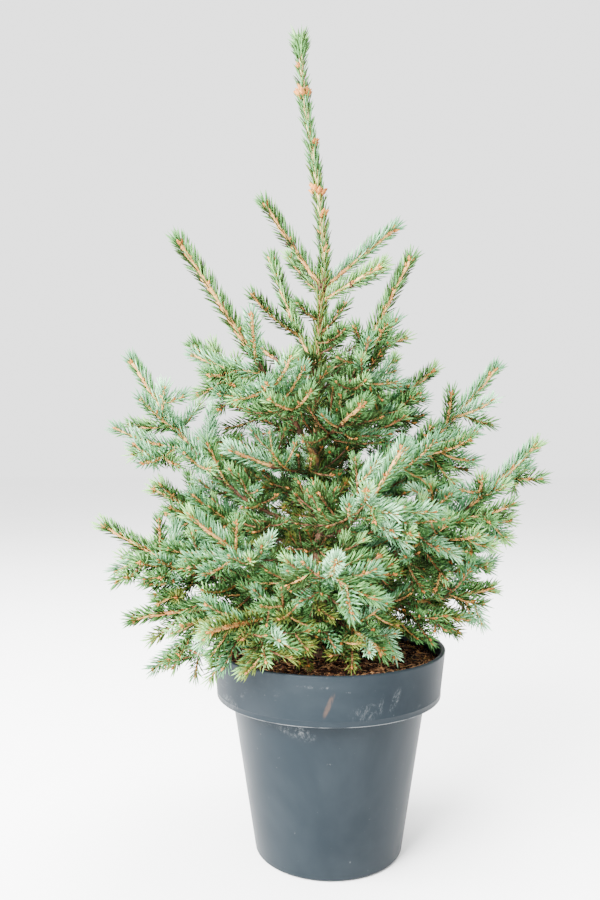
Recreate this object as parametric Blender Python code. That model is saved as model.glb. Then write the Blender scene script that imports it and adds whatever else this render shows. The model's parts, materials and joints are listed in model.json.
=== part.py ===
"""Potted black spruce: a young tree of about 0.9 m in a round plastic pot.

Units are metres, +Z is up, and the origin is the middle of the pot's flat underside.
-Y is the front. A bearing is measured in degrees from +X towards +Y, seen from above.
"""

import math
import random
from typing import NamedTuple

import bmesh
import bpy
from mathutils import Vector

X_WAY = Vector((1.0, 0.0, 0.0))
Y_WAY = Vector((0.0, 1.0, 0.0))
UP = Vector((0.0, 0.0, 1.0))

# Gap between pieces that meet
GAP = 0.0003

# Edges sharper than these angles stay sharp
TURNED_SMOOTH = math.radians(30)
LIMB_SMOOTH = math.radians(50)

# Pot: a tapered body under a wider band that ends in a rolled rim
POT_SIDES = 40
POT_HEIGHT = 0.225
BASE_RADIUS = 0.082
NECK_RADIUS = 0.108
BAND_RADIUS = 0.125
RIM_RADIUS = 0.130
BAND_FOOT = 0.173
WALL = 0.0022
FLOOR = 0.0025
BASE_EDGE = 0.004
EDGE_ROUND = 0.0015
SOIL_TOP = 0.212

# Trunk: its sideways sweep and its radius at a few heights, and how far the rings
# that shape its root flare stand above the soil
TRUNK_SIDES = 8
TRUNK_STEP = 0.020
TRUNK_TIP = 0.907
FLARE_RISES = (0.006, 0.014, 0.023)
TRUNK_SWEEP = (
    (0.212, -0.004),
    (0.300, -0.010),
    (0.360, -0.012),
    (0.440, -0.012),
    (0.520, -0.013),
    (0.625, -0.007),
    (0.670, -0.005),
    (0.740, -0.012),
    (0.795, -0.020),
    (0.845, -0.028),
    (0.910, -0.032),
)
TRUNK_RADII = (
    (0.212, 0.0130),
    (0.218, 0.0105),
    (0.235, 0.0088),
    (0.300, 0.0072),
    (0.430, 0.0052),
    (0.520, 0.0041),
    (0.625, 0.0032),
    (0.750, 0.0023),
    (0.907, 0.0012),
)

# Boughs and the stems of the foliage that carries them on
BOUGH_SIDES = 6
BOUGH_STEP = 0.018
BOUGH_ROOT = 0.0011
BOUGH_SWELL = 0.0052
BOUGH_TAPER = 1.2
STEM_TIP = 0.0010
CLAIM_STEPS = 60
CLAIM_EACH = 4

# A way whose level part is shorter than this counts as upright
UPRIGHT = 0.2

# Sprays: four-cornered stems whose corners are drawn out into teeth of needles
SPRAY_SIDES = 4
RING_STEP = 0.0155
BARE_ROOT = 0.008
TUFT = 0.011
NEEDLE_REACH = 0.0085
NEEDLE_LEAN = 1.25
UNDER_CORNER = 3
UNDER_SHARE = 0.7
CORE_FAT = 1.5
TOOTH_LEAST = 0.001
TOOTH_MARGIN = 0.0009

# Sleeves of needles round the trunk, and the tuft at the top of the leader's
LEADER_STEP = 0.0125
LEADER_REACH = 0.0105
LEADER_WALL = 0.0012
LEADER_AHEAD = 0.01
LEADER_TUFT = 0.017
LEADER_TUFT_SPREAD = 0.4

# Room that a shoot needs round itself
CLEAR_OTHER = 0.0125
CLEAR_OWN = 0.0100
CLEAR_NAMED = 0.0075
CLEAR_TRUNK = 0.0120
CLEAR_POT = 0.0110
CLEAR_ROOT = 0.0130
SAMPLE = 0.005

# Side shoots that fill the crown, by the seeded rule: where they stand, how they turn
# and lift in degrees, and how long they grow. A stem's last growth bears none, and the
# younger a bough is, the higher it grows and the less of it bears side shoots.
YOUNG_HEIGHT = 0.530
AGEING_HEIGHT = 0.130
SEED = 1861
FILL_STEP = 0.016
FILL_STEP_CHANCE = (0.85, 1.15)
FILL_FIRST = 0.08
FILL_FROM = 0.24
FILL_TO = 0.58
FILL_TURN = 62
FILL_TURN_EASE = 24
FILL_TURN_CHANCE = (-8, 8)
FILL_LIFT_SHARE = 0.5
FILL_LIFT_CHANCE = (-14, 26)
FILL_SHARE = 0.50
FILL_EXTRA = (0.010, 0.022)
FILL_SHORTEST = 0.026
FILL_LONGEST = 0.080
SIDE_RADIUS = 0.0013
SAG_SHARE = 0.06


class Bough(NamedTuple):
    """One bough and its foliage: where it leaves the trunk and how it runs to its tip."""

    height: float
    bearing: float
    reach: float
    rise: float
    dip: float
    swing: float
    bare: float


class Side(NamedTuple):
    """A side shoot: its place along the bough, its turn from it, its lift and its length."""

    share: float
    turn: float
    lift: float
    length: float


BOUGHS = {
    "top_left": Bough(0.627, -155, 0.072, 0.088, 0.000, -0.003, 0.0),
    "top_back_left": Bough(0.620, 125, 0.066, 0.055, 0.004, 0.000, 0.0),
    "top_right": Bough(0.625, 15, 0.090, 0.077, 0.000, 0.000, 0.0),
    "top_front_right": Bough(0.611, -40, 0.085, 0.030, 0.000, 0.000, 0.0),
    "upper_left": Bough(0.538, 145, 0.066, 0.133, 0.010, 0.003, 0.0),
    "upper_back_left": Bough(0.522, 165, 0.095, 0.062, 0.006, 0.000, 0.0),
    "upper_right": Bough(0.520, 30, 0.083, 0.060, 0.007, -0.003, 0.0),
    "upper_back": Bough(0.531, 85, 0.100, 0.080, 0.006, 0.000, 0.0),
    "middle_front_left": Bough(0.430, -137, 0.190, 0.218, 0.018, 0.020, 0.20),
    "middle_left_low": Bough(0.418, -152, 0.110, 0.028, 0.006, 0.000, 0.0),
    "middle_right_steep": Bough(0.437, -24, 0.110, 0.215, 0.000, -0.006, 0.20),
    "middle_left": Bough(0.446, 180, 0.142, 0.118, 0.000, 0.000, 0.26),
    "middle_right": Bough(0.438, 12, 0.140, 0.100, 0.005, 0.003, 0.22),
    "middle_back_right": Bough(0.449, 45, 0.140, 0.110, 0.010, 0.008, 0.0),
    "middle_back": Bough(0.444, 100, 0.132, 0.127, 0.015, -0.014, 0.22),
    "middle_front_right": Bough(0.450, -65, 0.110, 0.042, 0.000, 0.000, 0.0),
    "broad_left": Bough(0.359, -174, 0.208, 0.186, 0.044, 0.010, 0.30),
    "broad_left_low": Bough(0.330, 168, 0.200, 0.068, 0.006, -0.006, 0.28),
    "broad_right": Bough(0.365, 0, 0.203, 0.173, 0.021, 0.000, 0.30),
    "broad_front_right": Bough(0.347, -58, 0.153, 0.103, 0.028, -0.006, 0.25),
    "broad_back_left": Bough(0.372, 138, 0.205, 0.090, 0.006, -0.011, 0.28),
    "broad_back_right": Bough(0.360, 36, 0.190, 0.058, -0.005, 0.001, 0.28),
    "broad_back": Bough(0.385, 88, 0.170, 0.100, 0.010, 0.006, 0.0),
    "low_left": Bough(0.286, -173, 0.241, 0.077, 0.020, 0.005, 0.32),
    "low_right": Bough(0.297, -7, 0.239, 0.154, 0.025, -0.004, 0.34),
    "low_right_back": Bough(0.288, 20, 0.222, 0.043, 0.008, 0.010, 0.30),
    "low_front": Bough(0.286, -87, 0.190, 0.060, 0.006, 0.000, 0.24),
    "low_front_left": Bough(0.290, -138, 0.178, 0.091, 0.014, 0.005, 0.24),
    "low_back_left": Bough(0.296, 145, 0.242, 0.068, 0.015, -0.018, 0.30),
    "low_back": Bough(0.300, 98, 0.205, 0.085, 0.015, 0.010, 0.0),
    "low_back_right": Bough(0.296, 50, 0.235, 0.085, 0.013, 0.013, 0.30),
    "skirt_left": Bough(0.250, -171, 0.213, 0.009, -0.014, 0.004, 0.0),
    "skirt_front_left": Bough(0.246, -127, 0.188, 0.026, -0.008, -0.003, 0.0),
    "skirt_front_right": Bough(0.250, -60, 0.120, -0.010, -0.014, -0.010, 0.0),
    "skirt_right": Bough(0.256, 3, 0.197, 0.030, 0.000, -0.006, 0.0),
    "skirt_back_left": Bough(0.252, 125, 0.220, 0.030, 0.000, -0.010, 0.0),
    "skirt_back_right": Bough(0.252, 70, 0.210, 0.025, 0.000, 0.008, 0.0),
}

# Side shoots that shape the crown's outline, by the bough that bears them
SIDES = {
    "top_front_right": (Side(0.50, 55, 25, 0.040),),
    "upper_left": (Side(0.30, 80, 25, 0.085), Side(0.40, -40, 40, 0.065)),
    "middle_left_low": (Side(0.45, -40, 35, 0.055), Side(0.20, 60, 20, 0.055)),
    "middle_right_steep": (Side(0.57, 35, 10, 0.045), Side(0.38, -25, 30, 0.055)),
    "middle_right": (Side(0.62, -80, 25, 0.045), Side(0.55, 30, -5, 0.050)),
    "middle_left": (
        Side(0.61, 35, 15, 0.050),
        Side(0.55, -35, 0, 0.053),
        Side(0.71, -55, 45, 0.055),
    ),
    "middle_front_right": (Side(0.50, 55, 10, 0.045), Side(0.45, -50, 15, 0.045)),
    "broad_left": (
        Side(0.70, -130, 45, 0.045),
        Side(0.70, 45, 35, 0.060),
        Side(0.62, 15, 15, 0.088),
        Side(0.57, -100, 50, 0.080),
        Side(0.52, 60, 20, 0.060),
    ),
    "broad_left_low": (Side(0.75, 60, 30, 0.060), Side(0.70, -30, -10, 0.045)),
    "broad_right": (
        Side(0.74, -40, 20, 0.050),
        Side(0.69, -90, 45, 0.050),
        Side(0.53, -60, 50, 0.040),
        Side(0.63, 50, 10, 0.053),
        Side(0.50, 40, -10, 0.064),
    ),
    "broad_front_right": (
        Side(0.56, -35, 20, 0.070),
        Side(0.62, 20, -5, 0.075),
        Side(0.50, 35, 0, 0.090),
    ),
    "low_right": (
        Side(0.81, 45, 15, 0.060),
        Side(0.71, -90, 35, 0.045),
        Side(0.66, 60, 10, 0.060),
        Side(0.58, 95, 40, 0.065),
        Side(0.54, -110, 55, 0.060),
        Side(0.60, -30, 15, 0.072),
    ),
    "low_left": (
        Side(0.72, 90, 60, 0.050),
        Side(0.67, -95, 55, 0.060),
        Side(0.73, -40, -5, 0.060),
        Side(0.61, 60, 15, 0.055),
        Side(0.52, 70, 50, 0.065),
        Side(0.50, -30, -5, 0.080),
    ),
    "low_right_back": (Side(0.78, -45, -15, 0.045), Side(0.76, 50, 10, 0.052)),
    "low_front": (
        Side(0.70, 140, 55, 0.045),
        Side(0.60, -35, 25, 0.055),
        Side(0.62, 50, 15, 0.055),
        Side(0.45, -60, 20, 0.050),
    ),
    "low_front_left": (Side(0.55, 50, 10, 0.060), Side(0.50, -50, 15, 0.060)),
    "skirt_right": (
        Side(0.69, -65, 40, 0.060),
        Side(0.60, -60, -15, 0.050),
        Side(0.40, -60, 0, 0.075),
    ),
    "skirt_left": (
        Side(0.72, -25, -40, 0.055),
        Side(0.58, 20, -40, 0.090),
        Side(0.62, -40, 15, 0.060),
        Side(0.50, 75, 0, 0.060),
    ),
    "skirt_front_left": (
        Side(0.62, 25, -10, 0.045),
        Side(0.40, 45, -10, 0.060),
        Side(0.34, 35, 35, 0.080),
        Side(0.70, -40, 30, 0.045),
    ),
    "skirt_front_right": (
        Side(0.35, 60, 25, 0.085),
        Side(0.40, -45, 5, 0.070),
        Side(0.55, 20, 35, 0.060),
    ),
}

# Small twigs of the stretch of trunk under the top whorl: height, bearing, lift and length
INTERNODE_TWIGS = (
    (0.577, -45, 38, 0.046),
    (0.590, -135, 25, 0.036),
    (0.567, 45, 20, 0.042),
    (0.564, -70, 5, 0.070),
)
INTERNODE_NEEDLES = (0.557, 0.603)
LEADER_NEEDLES = (0.643, 0.903)


# Curves and places

def between(table, height):
    """Read a value from (height, value) rows by a smooth curve through them."""
    last = len(table) - 2
    row = next((i for i in range(last) if height < table[i + 1][0]), last)
    low, high = table[row], table[row + 1]
    before, after = table[max(row - 1, 0)], table[min(row + 2, last + 1)]
    share = min(max((height - low[0]) / (high[0] - low[0]), 0.0), 1.0)
    span = high[0] - low[0]
    slope_low = (high[1] - before[1]) / (high[0] - before[0]) * span
    slope_high = (after[1] - low[1]) / (after[0] - low[0]) * span
    square = share * share
    cube = square * share
    return (
        (2 * cube - 3 * square + 1) * low[1]
        + (cube - 2 * square + share) * slope_low
        + (3 * square - 2 * cube) * high[1]
        + (cube - square) * slope_high
    )


def trunk_point(height):
    """The middle of the trunk at a height."""
    return Vector((between(TRUNK_SWEEP, height), 0.0, height))


def level_way(bearing):
    """The level direction of a bearing in degrees."""
    angle = math.radians(bearing)
    return Vector((math.cos(angle), math.sin(angle), 0.0))


def lifted_way(bearing, lift):
    """The direction of a bearing, lifted above the level by an angle in degrees."""
    angle = math.radians(lift)
    return level_way(bearing) * math.cos(angle) + Vector((0.0, 0.0, math.sin(angle)))


def bough_point(bough, share):
    """A point of a bough's middle line, from the trunk's axis at 0 to the tip at 1."""
    way = level_way(bough.bearing)
    left = level_way(bough.bearing + 90)
    bend = 4 * share * (1 - share)
    point = trunk_point(bough.height) + way * (bough.reach * share) + left * (bough.swing * bend)
    point.z += bough.rise * share - bough.dip * bend
    return point


def bough_way(bough, share):
    """The direction of a bough's middle line at a share of it."""
    small = 0.001
    return (bough_point(bough, share + small) - bough_point(bough, share - small)).normalized()


def bough_length(bough):
    """The length of a bough from the trunk's axis to its tip."""
    steps = 12
    points = [bough_point(bough, i / steps) for i in range(steps + 1)]
    return sum((b - a).length for a, b in zip(points, points[1:]))


def bough_radius(bough, share):
    """The radius of a bough or its stem, which tapers to the tip."""
    root = BOUGH_ROOT + BOUGH_SWELL * bough_length(bough)
    return STEM_TIP + (root - STEM_TIP) * (1 - share) ** BOUGH_TAPER


def root_share(bough):
    """The share of a bough that lies inside the trunk, with the gap round it."""
    corner = 360 / TRUNK_SIDES
    off_corner = (bough.bearing + 0.5 * corner) % corner - 0.5 * corner
    trunk_side = between(TRUNK_RADII, bough.height) * math.cos(math.radians(off_corner))
    return (trunk_side + GAP) / bough.reach


def side_line(start, way, length):
    """The points of a side shoot, which sags a little between its root and its tip."""
    count = max(2, round(length / SAMPLE))
    down = Vector((0.0, 0.0, -SAG_SHARE * length))
    shares = [i / count for i in range(count + 1)]
    return [start + way * (length * s) + down * (4 * s * (1 - s)) for s in shares]


# Growth: every shoot is a line of points, and keeps to its own mass's space

class Shoot:
    """One shoot of a mass: its line of points, its radius at the root and its order."""

    def __init__(self, mass, line, root_radius, order):
        self.mass = mass
        self.line = line
        self.root_radius = root_radius
        self.order = order

    def length(self):
        """The length along the line."""
        return sum((b - a).length for a, b in zip(self.line, self.line[1:]))

    def at(self, share):
        """The point and the direction at a share of the length."""
        wanted = share * self.length()
        for a, b in zip(self.line, self.line[1:]):
            step = (b - a).length
            if wanted <= step or b is self.line[-1]:
                return a.lerp(b, wanted / step), (b - a).normalized()
            wanted -= step
        return self.line[-1], self.line[-1] - self.line[-2]


class Crown:
    """All shoots and limbs so far, with the points that later shoots keep clear of."""

    def __init__(self):
        self.shoots = []
        self.points = []
        self.owners = []

    def claim(self, owner, line):
        """Take the points of a line for a mass or limb."""
        for point in line:
            self.points.append(point)
            self.owners.append(owner)

    def room(self, mass, point, own=False):
        """The distance from a point to the nearest point of another mass, or of its own."""
        rows = (p for p, o in zip(self.points, self.owners) if (o == mass) == own)
        return min(((p - point).length for p in rows), default=1.0)

    def fits(self, mass, line, clear):
        """Whether a line stays clear of everything but the stem that it leaves."""
        for point in line:
            from_root = (point - line[0]).length
            if from_root < CLEAR_ROOT:
                continue
            if not stands_clear(point):
                return False
            if self.room(mass, point) < clear:
                return False
            if self.room(mass, point, own=True) < min(CLEAR_OWN, clear):
                return False
        return True

    def add(self, shoot):
        """Keep a shoot and claim its points."""
        self.shoots.append(shoot)
        self.claim(shoot.mass, shoot.line)


def sleeve_bore(height):
    """The distance from the trunk's axis to an inner corner of a needle sleeve."""
    return (between(TRUNK_RADII, height) + 2 * GAP) * math.sqrt(2)


def sleeve_wall(height, bearing):
    """The distance from the trunk's axis to the middle of a sleeve's wall in a direction."""
    off_flat = math.radians((bearing + 90) % 90 - 45)
    return (sleeve_bore(height) + 0.5 * LEADER_WALL) * math.sqrt(0.5) / math.cos(off_flat)


def stands_clear(point):
    """Whether a point is clear of the trunk, the soil and the pot."""
    if SOIL_TOP < point.z < TRUNK_TIP:
        axis = trunk_point(point.z)
        if math.hypot(point.x - axis.x, point.y - axis.y) < CLEAR_TRUNK:
            return False
    out = math.hypot(point.x, point.y)
    if out < RIM_RADIUS - CLEAR_POT:
        return point.z > SOIL_TOP + CLEAR_POT
    if out < RIM_RADIUS + CLEAR_POT:
        return point.z > POT_HEIGHT + CLEAR_POT
    return True


def level_bearing(way):
    """The bearing of a direction in degrees."""
    return math.degrees(math.atan2(way.y, way.x))


def grow_side(crown, parent, side, clear):
    """Grow a side shoot from a parent where there is room for it."""
    start, way = parent.at(side.share)
    line = side_line(start, lifted_way(level_bearing(way) + side.turn, side.lift), side.length)
    if crown.fits(parent.mass, line, clear):
        crown.add(Shoot(parent.mass, line, SIDE_RADIUS, parent.order + 1))


def bough_age(height):
    """How old a bough that leaves the trunk at a height is, from 0 at the top to 1 low down."""
    return min(max((YOUNG_HEIGHT - height) / AGEING_HEIGHT, 0.0), 1.0)


def fill_sides(crown, parent, rng, first, age):
    """Grow the side shoots of one parent by the seeded rule, left and right by turns."""
    length = parent.length()
    share = first
    hand = rng.choice((-1, 1))
    while share < FILL_TO * age:
        turn = hand * (FILL_TURN - FILL_TURN_EASE * share + rng.uniform(*FILL_TURN_CHANCE))
        way = parent.at(share)[1]
        lift = math.degrees(math.asin(way.z)) * FILL_LIFT_SHARE + rng.uniform(*FILL_LIFT_CHANCE)
        reach = FILL_SHARE * (1 - share) * length + rng.uniform(*FILL_EXTRA)
        reach = min(max(reach, FILL_SHORTEST), FILL_LONGEST)
        grow_side(crown, parent, Side(share, turn, lift, reach), CLEAR_OTHER)
        share += FILL_STEP / length * rng.uniform(*FILL_STEP_CHANCE)
        hand = -hand


def grow_stem(crown, name, bough):
    """Claim the bare bough's points and grow the stem of its foliage from there to the tip."""
    first = max(bough.bare, root_share(bough))
    shares = [first * i / CLAIM_STEPS for i in range(CLAIM_STEPS)]
    outside = [bough_point(bough, s) for s in shares if s > root_share(bough)]
    crown.claim("bough_" + name, outside[::CLAIM_EACH])
    count = max(4, round(bough_length(bough) * (1 - first) / SAMPLE))
    line = [bough_point(bough, first + (1 - first) * i / count) for i in range(count + 1)]
    stem = Shoot(name, line, bough_radius(bough, first), 0)
    crown.add(stem)
    return stem


def grow_internode(crown):
    """Grow the small twigs under the top whorl, each from the wall of its needle sleeve."""
    for height, bearing, lift, length in INTERNODE_TWIGS:
        start = trunk_point(height) + level_way(bearing) * sleeve_wall(height, bearing)
        line = side_line(start, lifted_way(bearing, lift), length)
        crown.add(Shoot("internode", line, SIDE_RADIUS, 1))


def grow_crown():
    """Grow the stems first, then the named side shoots, then the ones that fill the crown."""
    crown = Crown()
    stems = {name: grow_stem(crown, name, bough) for name, bough in BOUGHS.items()}
    grow_internode(crown)
    for name, sides in SIDES.items():
        first = max(BOUGHS[name].bare, root_share(BOUGHS[name]))
        for side in sides:
            own_share = (side.share - first) / (1 - first)
            if own_share > 0:
                grow_side(crown, stems[name], side._replace(share=own_share), CLEAR_NAMED)
    rng = random.Random(SEED)
    for name, stem in stems.items():
        bough = BOUGHS[name]
        first = max(FILL_FIRST, FILL_FROM - bough.bare)
        fill_sides(crown, stem, rng, first, bough_age(bough.height))
    return crown


# Meshes

def new_object(name, mesh, material):
    """Put a mesh in the scene as a named object with its material."""
    mesh.materials.append(material)
    thing = bpy.data.objects.new(name, mesh)
    bpy.context.scene.collection.objects.link(thing)
    return thing


def plain_material(name, colour, roughness, metallic=0.0):
    """A Principled BSDF material of one colour."""
    material = bpy.data.materials.new(name)
    material.use_nodes = True
    shader = material.node_tree.nodes["Principled BSDF"]
    shader.inputs["Base Color"].default_value = (*colour, 1.0)
    shader.inputs["Roughness"].default_value = roughness
    shader.inputs["Metallic"].default_value = metallic
    return material


def turned_mesh(name, profile):
    """Turn a profile of (radius, height) points, from axis to axis, about the Z axis."""
    bm = bmesh.new()
    verts = [bm.verts.new((radius, 0.0, height)) for radius, height in profile]
    edges = [bm.edges.new(pair) for pair in zip(verts, verts[1:])]
    bmesh.ops.spin(
        bm,
        geom=verts + edges,
        cent=(0, 0, 0),
        axis=(0, 0, 1),
        angle=math.tau,
        steps=POT_SIDES,
        use_merge=True,
    )
    bmesh.ops.remove_doubles(bm, verts=bm.verts[:], dist=0.00001)
    bmesh.ops.recalc_face_normals(bm, faces=bm.faces[:])
    mesh = bpy.data.meshes.new(name)
    bm.to_mesh(mesh)
    bm.free()
    return smooth(mesh, TURNED_SMOOTH)


def smooth(mesh, angle):
    """Shade a mesh smooth, apart from the edges that are sharper than an angle."""
    mesh.shade_smooth()
    mesh.set_sharp_from_angle(angle=angle)
    return mesh


def way_axes(tangent):
    """The tangent with the left and up directions square to it."""
    left = UP.cross(tangent)
    if left.length < UPRIGHT:
        left = Y_WAY.cross(tangent)
    left.normalize()
    return tangent, left, tangent.cross(left)


def root_axes(bough):
    """The axes of a ring that lies flat against the trunk at a bough's root."""
    return level_way(bough.bearing), level_way(bough.bearing + 90), UP


def ring_axes(line):
    """The tangent, left and up directions at each point of a line."""
    last = len(line) - 1
    return [way_axes((line[min(i + 1, last)] - line[max(i - 1, 0)]).normalized()) for i in range(last + 1)]


def ring_points(centre, left, up, radius, sides):
    """The points of a round ring."""
    angles = [math.tau * k / sides for k in range(sides)]
    return [centre + left * (radius * math.cos(a)) + up * (radius * math.sin(a)) for a in angles]


def skin_rings(bm, rings, tip=None):
    """Join rings of points into a closed body, flat at its ends or drawn to a tip."""
    rows = [[bm.verts.new(point) for point in ring] for ring in rings]
    sides = len(rows[0])
    for low, high in zip(rows, rows[1:]):
        for k in range(sides):
            after = (k + 1) % sides
            bm.faces.new((low[k], low[after], high[after], high[k]))
    bm.faces.new(rows[0][::-1])
    if tip is None:
        bm.faces.new(rows[-1])
        return
    point = bm.verts.new(tip)
    for k in range(sides):
        bm.faces.new((rows[-1][k], rows[-1][(k + 1) % sides], point))


def finish_mesh(bm, name):
    """Turn a bmesh into a mesh with its faces pointing out."""
    bmesh.ops.recalc_face_normals(bm, faces=bm.faces[:])
    bmesh.ops.triangulate(bm, faces=bm.faces[:])
    mesh = bpy.data.meshes.new(name)
    bm.to_mesh(mesh)
    bm.free()
    return mesh


def trunk_mesh():
    """The trunk from its flat cut at the soil, through its root flare, to its tip."""
    heights = [SOIL_TOP + GAP] + [SOIL_TOP + rise for rise in FLARE_RISES]
    foot = heights[-1]
    count = math.ceil((TRUNK_TIP - foot) / TRUNK_STEP)
    heights += [foot + (TRUNK_TIP - foot) * (i + 1) / count for i in range(count)]
    rings = []
    for height in heights:
        radius = between(TRUNK_RADII, height)
        rings.append(ring_points(trunk_point(height), X_WAY, Y_WAY, radius, TRUNK_SIDES))
    bm = bmesh.new()
    skin_rings(bm, rings)
    return smooth(finish_mesh(bm, "trunk"), LIMB_SMOOTH)


def bough_mesh(name, bough):
    """A bare bough, flat against the trunk and tapering to where its foliage begins."""
    first = root_share(bough)
    last = bough.bare - GAP / bough_length(bough)
    count = max(2, round(bough_length(bough) * (last - first) / BOUGH_STEP))
    shares = [first + (last - first) * i / count for i in range(count + 1)]
    line = [bough_point(bough, s) for s in shares]
    axes = ring_axes(line)
    axes[0] = root_axes(bough)
    axes[-1] = way_axes(bough_way(bough, bough.bare))
    rings = []
    for share, centre, (_, left, up) in zip(shares, line, axes):
        rings.append(ring_points(centre, left, up, bough_radius(bough, share), BOUGH_SIDES))
    bm = bmesh.new()
    skin_rings(bm, rings)
    return smooth(finish_mesh(bm, name), LIMB_SMOOTH)


def spray_rings(crown, shoot, first_axes=None):
    """The rings of a shoot's stem, with corners drawn out into teeth where there is room."""
    length = shoot.length()
    last = max(1 - TUFT / length, 0.5)
    count = max(2, round(length * last / RING_STEP))
    shares = [last * i / count for i in range(count + 1)]
    line = [shoot.at(s)[0] for s in shares]
    axes = ring_axes(line)
    axes[0] = first_axes or axes[0]
    rings = []
    for i, (share, centre, (tangent, left, up)) in enumerate(zip(shares, line, axes)):
        taper = STEM_TIP + (shoot.root_radius - STEM_TIP) * (1 - share)
        radius = taper * (CORE_FAT if i else 1.0)
        corners = ring_points(centre, left, up, radius, SPRAY_SIDES)
        reach = min(NEEDLE_REACH, 0.5 * crown.room(shoot.mass, centre) - TOOTH_MARGIN)
        if share * length > BARE_ROOT and reach > radius + TOOTH_LEAST:
            for k in range(i % 2, SPRAY_SIDES, 2):
                out = (corners[k] - centre).normalized()
                long = reach * (UNDER_SHARE if k == UNDER_CORNER else 1.0)
                corners[k] = centre + out * long + tangent * (long * NEEDLE_LEAN)
        rings.append(corners)
    return rings


def spray_object(crown, shoot, material, first_axes=None):
    """One shoot with its teeth of needles, as an object of its own."""
    bm = bmesh.new()
    skin_rings(bm, spray_rings(crown, shoot, first_axes), tip=shoot.line[-1])
    return new_object("spray", finish_mesh(bm, "spray"), material)


def sleeve_rings(crown, name, low, high, tuft):
    """The outer and inner rings of a sleeve round the trunk, with teeth and maybe a top tuft."""
    count = round((high - low) / LEADER_STEP)
    outer = []
    inner = []
    for i in range(count + 1):
        height = low + (high - low) * i / count
        centre = trunk_point(height)
        ahead = (trunk_point(height + LEADER_AHEAD) - centre).normalized()
        bore = sleeve_bore(height)
        inner.append(ring_points(centre, X_WAY, Y_WAY, bore, SPRAY_SIDES))
        corners = ring_points(centre, X_WAY, Y_WAY, bore + LEADER_WALL, SPRAY_SIDES)
        reach = min(LEADER_REACH, 0.5 * crown.room(name, centre) - TOOTH_MARGIN)
        if 0 < i < count and reach > bore + 2 * LEADER_WALL:
            for k in range(i % 2, SPRAY_SIDES, 2):
                out = (corners[k] - centre).normalized()
                corners[k] = centre + out * reach + ahead * reach
        outer.append(corners)
    if tuft:
        top = trunk_point(high)
        outer[-1] = [c + ahead * LEADER_TUFT + (c - top) * LEADER_TUFT_SPREAD for c in outer[-1]]
    return outer, inner


def sleeve_object(crown, name, low, high, material, tuft=False):
    """Needles round a stretch of the trunk: a thin sleeve clear of it, with teeth."""
    bm = bmesh.new()
    outer, inner = (
        [[bm.verts.new(point) for point in ring] for ring in rings]
        for rings in sleeve_rings(crown, name, low, high, tuft)
    )
    ends = [(inner[0], outer[0]), (outer[-1], inner[-1])]
    for a, b in [*zip(outer, outer[1:]), *zip(inner[1:], inner), *ends]:
        for k in range(SPRAY_SIDES):
            after = (k + 1) % SPRAY_SIDES
            bm.faces.new((a[k], a[after], b[after], b[k]))
    return new_object("foliage_" + name, finish_mesh(bm, name), material)


def fuse(base, extras):
    """Join sprays to their stem by one union on a collection, and keep the main body."""
    if extras:
        group = bpy.data.collections.new(base.name + "_sprays")
        for extra in extras:
            group.objects.link(extra)
        union = base.modifiers.new("union", "BOOLEAN")
        union.operation = "UNION"
        union.operand_type = "COLLECTION"
        union.collection = group
        union.solver = "EXACT"
        joined = bpy.data.meshes.new_from_object(base.evaluated_get(bpy.context.evaluated_depsgraph_get()))
        base.modifiers.clear()
        base.data = joined
        for extra in extras:
            bpy.data.objects.remove(extra)
        bpy.data.collections.remove(group)
    keep_main_body(base.data)


def keep_main_body(mesh):
    """Drop loose scraps and sealed hollows, so one closed body is left."""
    bm = bmesh.new()
    bm.from_mesh(mesh)
    bmesh.ops.triangulate(bm, faces=bm.faces[:])
    unseen = set(bm.verts)
    bodies = []
    while unseen:
        body = set()
        edge_of_search = [next(iter(unseen))]
        while edge_of_search:
            vert = edge_of_search.pop()
            if vert in body:
                continue
            body.add(vert)
            edge_of_search.extend(edge.other_vert(vert) for edge in vert.link_edges)
        unseen -= body
        bodies.append(body)
    main = max(bodies, key=len)
    bmesh.ops.delete(bm, geom=[v for v in bm.verts if v not in main], context="VERTS")
    bm.to_mesh(mesh)
    bm.free()


# The parts

def pot_profile():
    """The pot's outline, from the middle of its underside round to the middle of its floor."""
    lip = 2 * EDGE_ROUND
    return (
        (0.0, 0.0),
        (BASE_RADIUS - BASE_EDGE, 0.0),
        (BASE_RADIUS - 0.3 * BASE_EDGE, 0.3 * BASE_EDGE),
        (BASE_RADIUS, BASE_EDGE),
        (NECK_RADIUS, BAND_FOOT),
        (BAND_RADIUS - EDGE_ROUND, BAND_FOOT),
        (BAND_RADIUS, BAND_FOOT + EDGE_ROUND),
        (RIM_RADIUS, POT_HEIGHT - EDGE_ROUND),
        (RIM_RADIUS - 0.5 * EDGE_ROUND, POT_HEIGHT),
        (RIM_RADIUS - lip, POT_HEIGHT - 0.5 * EDGE_ROUND),
        (BAND_RADIUS - lip, BAND_FOOT + WALL + EDGE_ROUND),
        (NECK_RADIUS - WALL, BAND_FOOT + WALL),
        (BASE_RADIUS - WALL, FLOOR + BASE_EDGE),
        (BASE_RADIUS - WALL - BASE_EDGE, FLOOR),
        (0.0, FLOOR),
    )


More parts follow.
